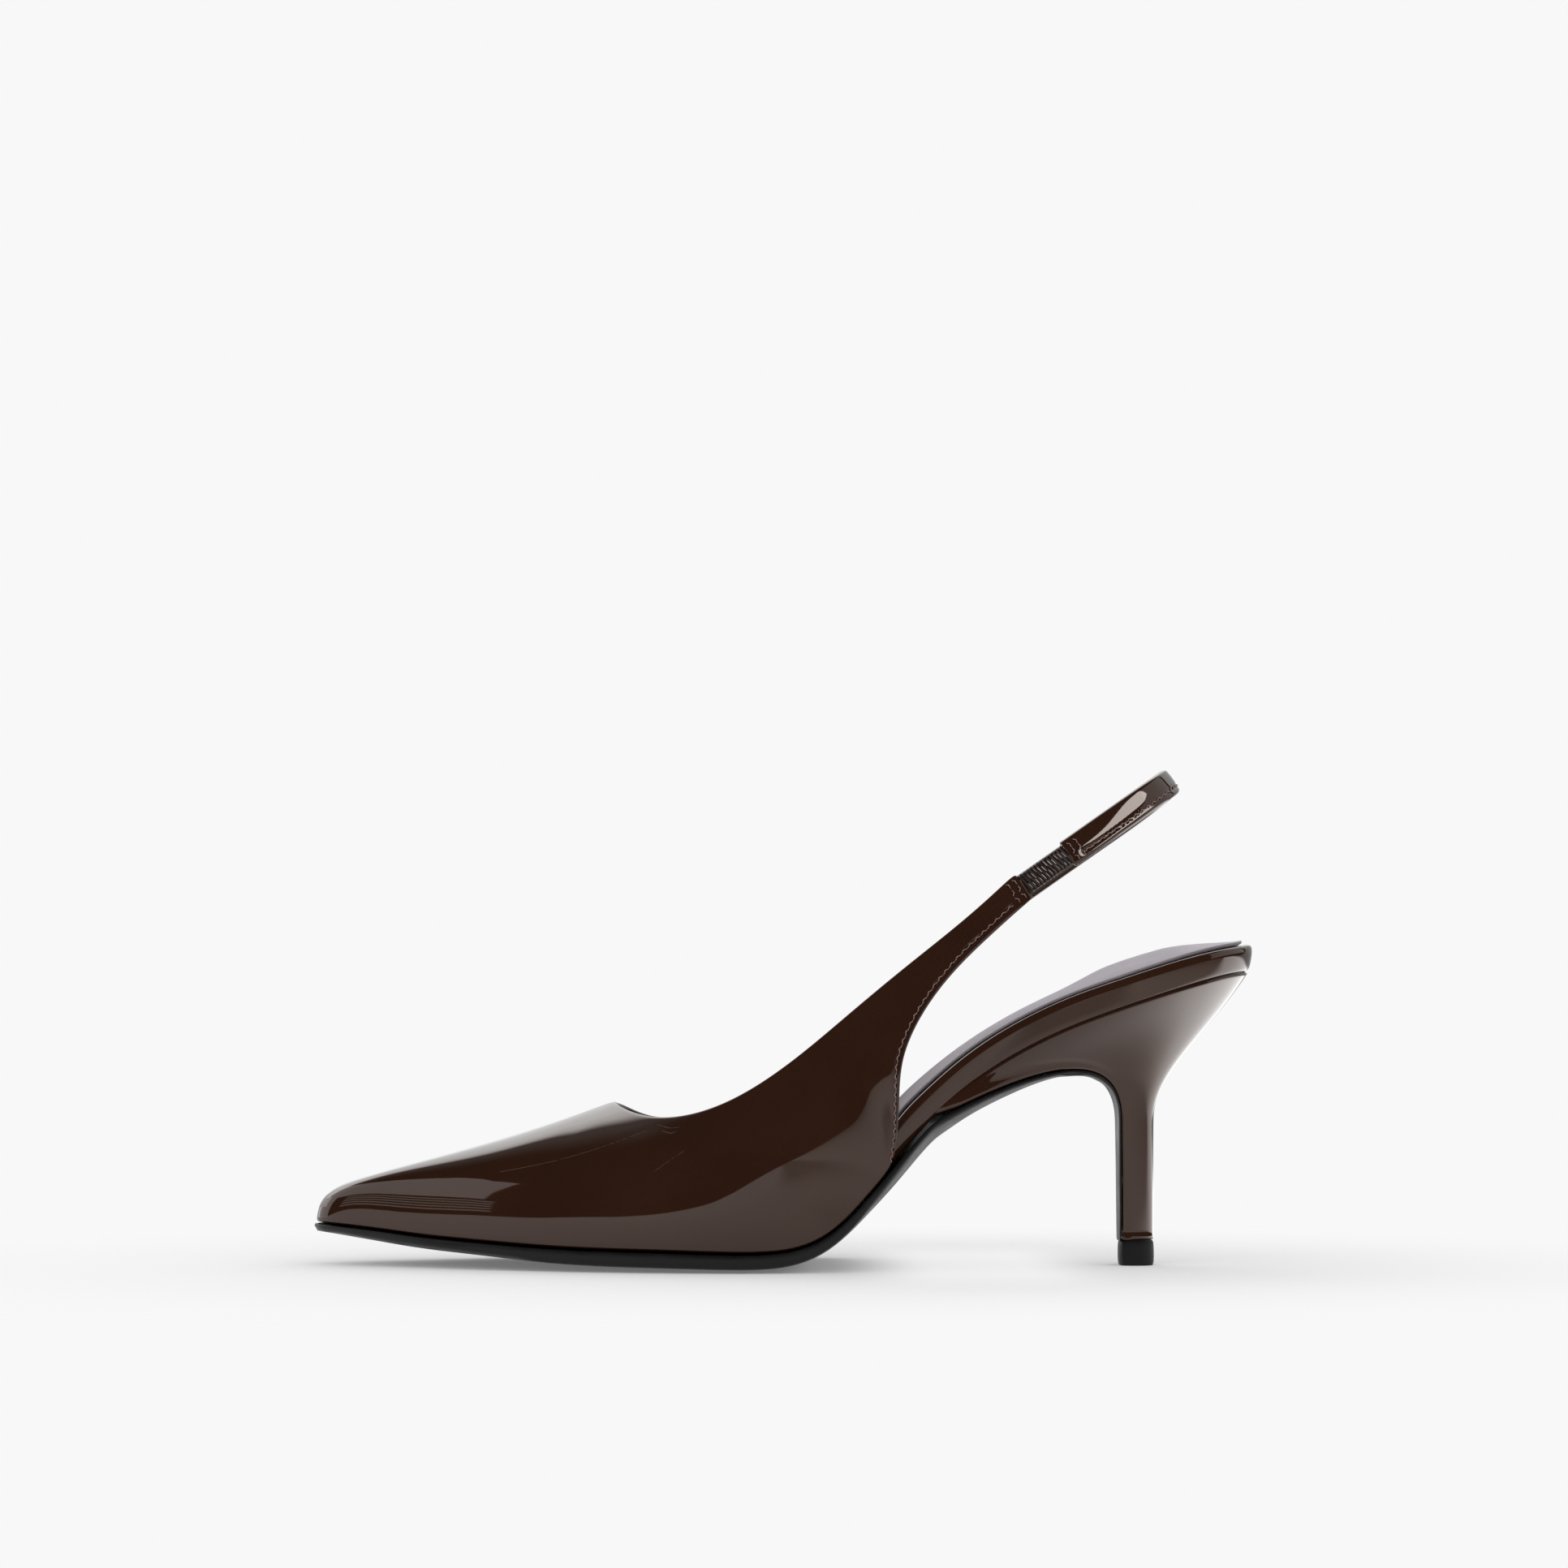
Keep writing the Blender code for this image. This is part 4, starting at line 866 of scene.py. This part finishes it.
    def surroundings(self, stage):
        """White to the camera, a soft dome for the floor's light, and dark in reflections."""
        world = bpy.data.worlds.new("studio")
        bpy.context.scene.world = world
        world.use_nodes = True
        tree = world.node_tree
        dark = tree.nodes["Background"]
        dark.inputs["Color"].default_value = (DARK, DARK, DARK, 1.0)
        pale = add_node(tree, "ShaderNodeBackground", Color=(1.0, 1.0, 1.0, 1.0), Strength=stage.white)
        dome = add_node(tree, "ShaderNodeBackground", Color=(1.0, 1.0, 1.0, 1.0))
        path = tree.nodes.new("ShaderNodeLightPath")
        way = tree.nodes.new("ShaderNodeSeparateXYZ")
        low = add_node(tree, "ShaderNodeMapRange", To_Min=DOME_LOW * stage.dome,
                       To_Max=DOME_HIGH * stage.dome)
        tree.links.new(tree.nodes.new("ShaderNodeTexCoord").outputs["Generated"], way.inputs["Vector"])
        tree.links.new(way.outputs["Z"], low.inputs["Value"])
        glow = worked(tree, "MULTIPLY", ramped(tree, way.outputs["Y"], *GLOW_BACK, 0.0, GLOW_GAIN),
                      ramped(tree, way.outputs["Z"], *GLOW_UP))
        tree.links.new(worked(tree, "ADD", glow, 1.0), dark.inputs["Strength"])
        tree.links.new(low.outputs["Result"], dome.inputs["Strength"])
        soft = tree.nodes.new("ShaderNodeMixShader")
        mix = tree.nodes.new("ShaderNodeMixShader")
        tree.links.new(path.outputs["Is Diffuse Ray"], soft.inputs["Fac"])
        tree.links.new(dark.outputs["Background"], soft.inputs[1])
        tree.links.new(dome.outputs["Background"], soft.inputs[2])
        tree.links.new(path.outputs["Is Camera Ray"], mix.inputs["Fac"])
        tree.links.new(soft.outputs["Shader"], mix.inputs[1])
        tree.links.new(pale.outputs["Background"], mix.inputs[2])
        tree.links.new(mix.outputs["Shader"], tree.nodes["World Output"].inputs["Surface"])

    def softbox(self, name, place, aim, size, power, along=None, gloss=True, diffuse=True):
        """Area light turned to a point, its width level or along a direction."""
        data = bpy.data.lights.new(name, "AREA")
        data.shape = "RECTANGLE"
        data.size, data.size_y = size
        data.energy = power
        lamp = bpy.data.objects.new(name, data)
        bpy.context.scene.collection.objects.link(lamp)
        back = (Vector(place) - Vector(aim)).normalized()
        width = Vector(along) if along else Vector((0.0, 0.0, 1.0)).cross(back)
        width = (width - width.dot(back) * back).normalized() if width.length else Vector((1.0, 0.0, 0.0))
        if abs(back.z) > 0.9:
            width = Vector((1.0, 0.0, 0.0))
        height = back.cross(width)
        lamp.matrix_world = Matrix.Translation(place) @ Matrix((width, height, back)).transposed().to_4x4()
        lamp.visible_camera = False
        lamp.visible_glossy = gloss
        lamp.visible_diffuse = diffuse

    def camera(self, context, stage):
        """Camera low in front of the outer side, tipped up a little."""
        data = bpy.data.cameras.new("photo_camera")
        camera = bpy.data.objects.new("photo_camera", data)
        context.scene.collection.objects.link(camera)
        place = Vector((0.0, -stage.camera_distance, stage.camera_height))
        aim = Vector((0.0, 0.0, stage.aim_height))
        camera.location = place
        camera.rotation_euler = (aim - place).to_track_quat("-Z", "Y").to_euler()
        data.sensor_width = 36.0
        data.lens = data.sensor_width * (aim - place).length / stage.frame_width
        data.clip_start = 0.02
        context.scene.camera = camera


class SHOE_OT_upper(bpy.types.Operator):
    """Make the lasted upper with its lining, the troughs along its seams and its creases"""

    bl_idname = "shoe.upper"
    bl_label = "Upper"

    def execute(self, context):
        sewing = context.scene.shoe_sewing
        piece = node_copy("upper", "upper_shell")
        piece.data.materials.append(bpy.data.materials["brown_patent"])
        piece.data.materials.append(bpy.data.materials["taupe_lining"])
        for face in piece.data.polygons:
            face.material_index = 1 if self.faces_foot(face) else 0
        crease_sharp(piece, *FIRM_EDGE, lambda place: place.x > FRONT_STRAP_END)
        subdivide(piece, 2)
        cover = Cover(piece)
        for side in (OUTER, INNER):
            press(piece, cover.line(wing_seam(side)), sewing.seam_depth, sewing.seam_width)
        for path in crease_paths():
            press(piece, cover.line(path), CREASE_DEPTH, CREASE_WIDTH)
        keep(piece, "patent_leather", "upper")
        self.crease_highlight_lines(Cover(piece))
        return {"FINISHED"}

    def crease_highlight_lines(self, cover):
        """Fine pale line in each crease, a painted highlight."""
        spots = []
        for path in crease_paths():
            spots += cover.spots(path, CREASE_HIGHLIGHT_PITCH)
        line = long_bead(CREASE_HIGHLIGHT_BEAD, 6, 4)
        line.data.materials.append(bpy.data.materials["crease_highlight_paint"])
        lay_copies("crease_highlight_lines", line, spots, "patent_leather")
        bpy.data.objects.remove(line)

    def faces_foot(self, face):
        """True for the faces on the inside of the shell."""
        height = min(face.center.z - INSIDE_Z, INSIDE_RISE)
        away = Vector((0.0, face.center.y - INSIDE_Y, height))
        return away.dot(face.normal) < INSIDE_TURN * away.length


class SHOE_OT_sole_unit(bpy.types.Operator):
    """Make the rim, sock, sole, heel and heel tip"""

    bl_idname = "shoe.sole_unit"
    bl_label = "Sole and heel"

    def execute(self, context):
        self.rim()
        self.sock()
        self.sole()
        self.heel()
        self.tip()
        return {"FINISHED"}

    def rim(self):
        """Board whose rounded edge is the patent rim round the seat; its forepart shows inside the shoe."""
        piece = node_copy("insole_board", "seat_rim")
        piece.data.materials.append(bpy.data.materials["brown_patent"])
        piece.data.materials.append(bpy.data.materials["taupe_lining"])
        for face in piece.data.polygons:
            face.material_index = 1 if face.normal.z > 0.7 and face.center.x < RIM_FRONT else 0
        subdivide(piece, 2)
        keep(piece, "rim_patent", "insole_board")

    def sock(self):
        """Padded sock, thick at the middle and thin at its edge, with a swell under the heel."""
        piece = node_copy("sock_lining", "padded_sock")
        piece.data.materials.append(bpy.data.materials["taupe_sock"])
        seat_faces(piece, lambda place, normal: normal.z < -0.5, *SOCK_SEAT)
        crease_sharp(piece, *SOCK_EDGE)
        subdivide(piece, 2)
        cover = Cover(piece)
        press(piece, [cover.top(x, SWELL_Y) for x in SWELL_X], -SWELL_HEIGHT, SWELL_WIDTH)
        keep(piece, "sock_leather", "sock_lining")

    def sole(self):
        """Black sole sheet that runs over the arch and down the breast of the heel."""
        piece = node_copy("outsole", "sole_sheet")
        piece.data.materials.append(bpy.data.materials["black_sole"])
        seat_faces(piece, lambda place, normal: normal.z > 0.5 and place.x < SOLE_REAR, *SOLE_SEAT)
        seat_faces(piece, lambda place, normal: normal.z < -0.8 and place.x > FLAP_FRONT, *FLAP_SEAT)
        self.thin_toe(piece)
        crease_sharp(piece, *FIRM_EDGE, self.off_toe)
        subdivide(piece, 2)
        keep(piece, "sole_leather", "outsole")

    def off_toe(self, place):
        """False for the lower half of the sole at the toe."""
        x, z, slope = TOE_LINE
        return place.x > TOE_X or place.z > z + slope * (place.x - x)

    def thin_toe(self, piece):
        """Draw the sole thin along its edge at the toe, so that its underside curves up to it."""
        spans = {}
        for vert in piece.data.vertices:
            spans.setdefault(round(TOE_SLICES * vert.co.x), []).append(vert.co.y)
        for vert in piece.data.vertices:
            if not self.off_toe(vert.co):
                span = spans[round(TOE_SLICES * vert.co.x)]
                middle, half = 0.5 * (max(span) + min(span)), 0.5 * (max(span) - min(span))
                share = min(1.0, max(0.0, TOE_X - vert.co.x) / TOE_RUN)
                vert.co.z += TOE_THIN * share * (abs(vert.co.y - middle) / half) ** 4

    def heel(self):
        """Covered heel whose foot flares a little over the tip, its tongue leaning in below."""
        piece = node_copy("heel", "covered_heel")
        piece.data.materials.append(bpy.data.materials["brown_patent"])
        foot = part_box("heel")[0][2]
        with editing(piece):
            for height in HEEL_CUTS:
                bpy.ops.mesh.select_all(action="SELECT")
                bpy.ops.mesh.bisect(plane_co=(0.0, 0.0, foot + height), plane_no=(0.0, 0.0, 1.0))
            bpy.ops.mesh.select_mode(type="VERT")
            bpy.ops.mesh.select_all(action="DESELECT")
            mesh = bmesh.from_edit_mesh(piece.data)
            for vert in mesh.verts:
                vert.select_set(vert.co.z < foot + HEEL_FOOT)
            bmesh.update_edit_mesh(piece.data)
            bpy.ops.transform.resize(value=HEEL_FLARE, center_override=HEEL_AXIS)
        lower = {index for face in piece.data.polygons if self.on_arch(face.center, face.normal)
                 for index in face.vertices}
        for index in lower:
            vert = piece.data.vertices[index]
            vert.co.y *= 1.0 - TONGUE_LEAN * min(1.0, max(0.0, TONGUE_X - vert.co.x) / TONGUE_RUN)
        seat_faces(piece, lambda place, normal: normal.z > 0.6 and place.z > HEEL_TOP, *HEEL_SEAT)
        seat_faces(piece, self.on_arch, *ARCH_SEAT)
        seat_faces(piece, lambda place, normal: normal.x < -0.4 and place.x < TONGUE_FRONT, *TONGUE_SEAT)
        crease_sharp(piece, *FIRM_EDGE)
        subdivide(piece, 2)
        keep(piece, "heel_patent", "heel")

    def on_arch(self, place, normal):
        """True for the heel's faces behind the sole sheet."""
        behind = place.x > TONGUE_FRONT and place.z > ARCH_FOOT
        return behind and abs(normal.y) < 0.35 and max(normal.x, normal.z) < 0.2

    def tip(self):
        """Rubber tip under the heel."""
        piece = node_copy("top_piece", "heel_tip")
        piece.data.materials.append(bpy.data.materials["black_rubber"])
        seat_faces(piece, lambda place, normal: normal.z > 0.9, *TIP_SEAT)
        crease_sharp(piece, *TIP_EDGE)
        subdivide(piece, 2)
        keep(piece, "tip_rubber", "top_piece")


class SHOE_OT_sling(bpy.types.Operator):
    """Make the back strap and the ribbed elastic"""

    bl_idname = "shoe.sling"
    bl_label = "Sling strap"

    def execute(self, context):
        self.strap(context.scene.shoe_sewing)
        self.elastic()
        return {"FINISHED"}

    def strap(self, sewing):
        """Strap round the back of the heel, pulled in along its seam."""
        piece = node_copy("back_strap", "sling_strap")
        piece.data.materials.append(bpy.data.materials["brown_patent"])
        seat_faces(piece, lambda place, normal: normal.dot(LOOP_AHEAD) > 0.8 and place.y > 0.0, *STRAP_SEAT)
        crease_sharp(piece, *STRAP_EDGE, self.past_end)
        subdivide(piece, 3)
        self.roll_edge(piece)
        cover = Cover(piece)
        press(piece, cover.line(strap_seam()), STRAP_SEAM_SHARE * sewing.seam_depth, sewing.seam_width)
        keep(piece, "strap_patent", "back_strap")
        shown = bpy.data.collections.new("strip_light_shows_on")
        shown.objects.link(piece)
        bpy.data.objects["strip_light"].light_linking.receiver_collection = shown

    def past_end(self, place):
        """True at the strap's two ends."""
        return (place - LOOP_BACK).dot(LOOP_AHEAD) > STRAP_END[place.y > 0.0]

    def roll_edge(self, piece):
        """Round the strap's upper edge over towards its inner face."""
        top = max((vert.co - LOOP_BACK).dot(LOOP_UP) for vert in piece.data.vertices)
        shifts = []
        for vert in piece.data.vertices:
            out = outward(vert.co)
            above = max(0.0, STRAP_ROLL - top + (vert.co - LOOP_BACK).dot(LOOP_UP))
            shifts.append((0.5 + 0.5 * vert.normal.dot(out))
                          * (STRAP_ROLL - math.sqrt(STRAP_ROLL ** 2 - min(above, STRAP_ROLL) ** 2)) * out)
        for vert, shift in zip(piece.data.vertices, shifts):
            vert.co -= shift
        piece.data.update()

    def elastic(self):
        """Ribbed elastic with staggered raised threads, pale as a painted highlight, tucked under both
        straps.
        """
        piece = node_copy("elastic_gore", "elastic_band")
        piece.data.materials.append(bpy.data.materials["woven_elastic"])
        seat_faces(piece, self.at_end, *ELASTIC_SEAT)
        for vert in piece.data.vertices:
            vert.co -= ELASTIC_NARROWING * (vert.co - LOOP_BACK).dot(LOOP_UP) * LOOP_UP
        subdivide(piece, 2)
        keep(piece, "elastic_weave", "elastic_gore")
        cover = Cover(piece)
        ribs, threads = [], []
        gap = (ELASTIC_FRONT - ELASTIC_BACK) / (ELASTIC_RIBS - 1)
        for i in range(ELASTIC_RIBS):
            forward = ELASTIC_FRONT - gap * i
            place, normal = cover.meet(loop_point(forward, ELASTIC_SIDE, 0.0))
            ribs.append((place - 0.5 * ELASTIC_THICK * normal, LOOP_UP, normal, ELASTIC_SLANT))
            for start, step, cycle in ELASTIC_THREAD_ROWS:
                across = start + step * (i % cycle)
                place, normal = cover.meet(loop_point(forward - 0.5 * gap, ELASTIC_SIDE, across))
                threads.append((place + ELASTIC_THREAD_RISE * normal, LOOP_UP, normal, ELASTIC_SLANT))
        width = ELASTIC_CORD_SHARE * gap
        cord = long_bead((width, width, ELASTIC_THICK + ELASTIC_CORD_RISE), 10, 10)
        for vert in cord.data.vertices:
            if abs(vert.co.x) > MERGE:
                vert.co.x += math.copysign(ELASTIC_CORD_REACH, vert.co.x)
        cord.data.materials.append(bpy.data.materials["elastic_cord"])
        lay_copies("elastic_ribs", cord, ribs, "elastic_weave")
        # Raised threads whose pale colour is a painted highlight
        thread = long_bead(ELASTIC_THREAD, 6, 6)
        thread.data.materials.append(bpy.data.materials["elastic_thread_highlight"])
        lay_copies("elastic_highlight_threads", thread, threads, "elastic_weave")
        for unit in (cord, thread):
            bpy.data.objects.remove(unit)

    def at_end(self, place, normal):
        """True for the faces that close the elastic's two ends."""
        forward = (place - LOOP_BACK).dot(LOOP_AHEAD)
        return abs(normal.dot(LOOP_AHEAD)) > 0.8 and not ELASTIC_BACK <= forward <= ELASTIC_FRONT


class SHOE_OT_stitching(bpy.types.Operator):
    """Sew the seams of the wings and straps"""

    bl_idname = "shoe.stitching"
    bl_label = "Stitching"

    def execute(self, context):
        sewing = context.scene.shoe_sewing
        upper = Cover(bpy.data.objects["upper_shell"])
        strap = Cover(bpy.data.objects["sling_strap"])
        run = stitch_unit(sewing, STITCH_ALONG * sewing.pitch)
        across = stitch_unit(sewing, STITCH_ACROSS * sewing.cross_pitch)
        for side, name in ((OUTER, "outer"), (INNER, "inner")):
            lay_copies("wing_stitches_" + name, run,
                       upper.spots(wing_seam(side), sewing.pitch), "patent_leather")
            spots = []
            for row in front_strap_rows(side):
                spots += upper.spots(row, sewing.cross_pitch, 0.0, CROSS_SWAY)
            lay_copies("front_strap_stitches_" + name, across, spots, "patent_leather")
        lay_copies("sling_stitches", run, strap.spots(strap_seam(), sewing.pitch), "strap_patent")
        spots = []
        for row in strap_rows():
            spots += strap.spots(row, sewing.cross_pitch, 0.0, CROSS_SWAY)
        lay_copies("sling_end_stitches", across, spots, "strap_patent")
        for unit in (run, across):
            bpy.data.objects.remove(unit)
        return {"FINISHED"}


class SHOE_PT_panel(bpy.types.Panel):
    """Sidebar list of the shoe's operators"""

    bl_label = "Slingback shoe"
    bl_idname = "SHOE_PT_panel"
    bl_space_type = "VIEW_3D"
    bl_region_type = "UI"
    bl_category = "Shoe"

    def draw(self, context):
        scene = context.scene
        for step in STEPS:
            self.layout.operator(step.bl_idname)
        for settings in (scene.shoe_finish, scene.shoe_sewing, scene.shoe_stage):
            for name in settings.bl_rna.properties.keys():
                if name not in ("rna_type", "name"):
                    self.layout.prop(settings, name)


STEPS = (SHOE_OT_stage, SHOE_OT_upper, SHOE_OT_sole_unit, SHOE_OT_sling, SHOE_OT_stitching)
CLASSES = (ShoeFinish, ShoeSewing, ShoeStage, *STEPS, SHOE_PT_panel)


def register():
    """Register the classes and their settings."""
    for cls in CLASSES:
        bpy.utils.register_class(cls)
    bpy.types.Scene.shoe_finish = PointerProperty(type=ShoeFinish)
    bpy.types.Scene.shoe_sewing = PointerProperty(type=ShoeSewing)
    bpy.types.Scene.shoe_stage = PointerProperty(type=ShoeStage)


def unregister():
    """Remove the settings and the classes."""
    del bpy.types.Scene.shoe_stage
    del bpy.types.Scene.shoe_sewing
    del bpy.types.Scene.shoe_finish
    for cls in reversed(CLASSES):
        bpy.utils.unregister_class(cls)


def main():
    """Dress the frame."""
    register()
    make_materials(bpy.context.scene.shoe_finish)
    bpy.ops.shoe.stage()
    bpy.ops.shoe.upper()
    bpy.ops.shoe.sole_unit()
    bpy.ops.shoe.sling()
    bpy.ops.shoe.stitching()


if __name__ == "__main__":
    main()
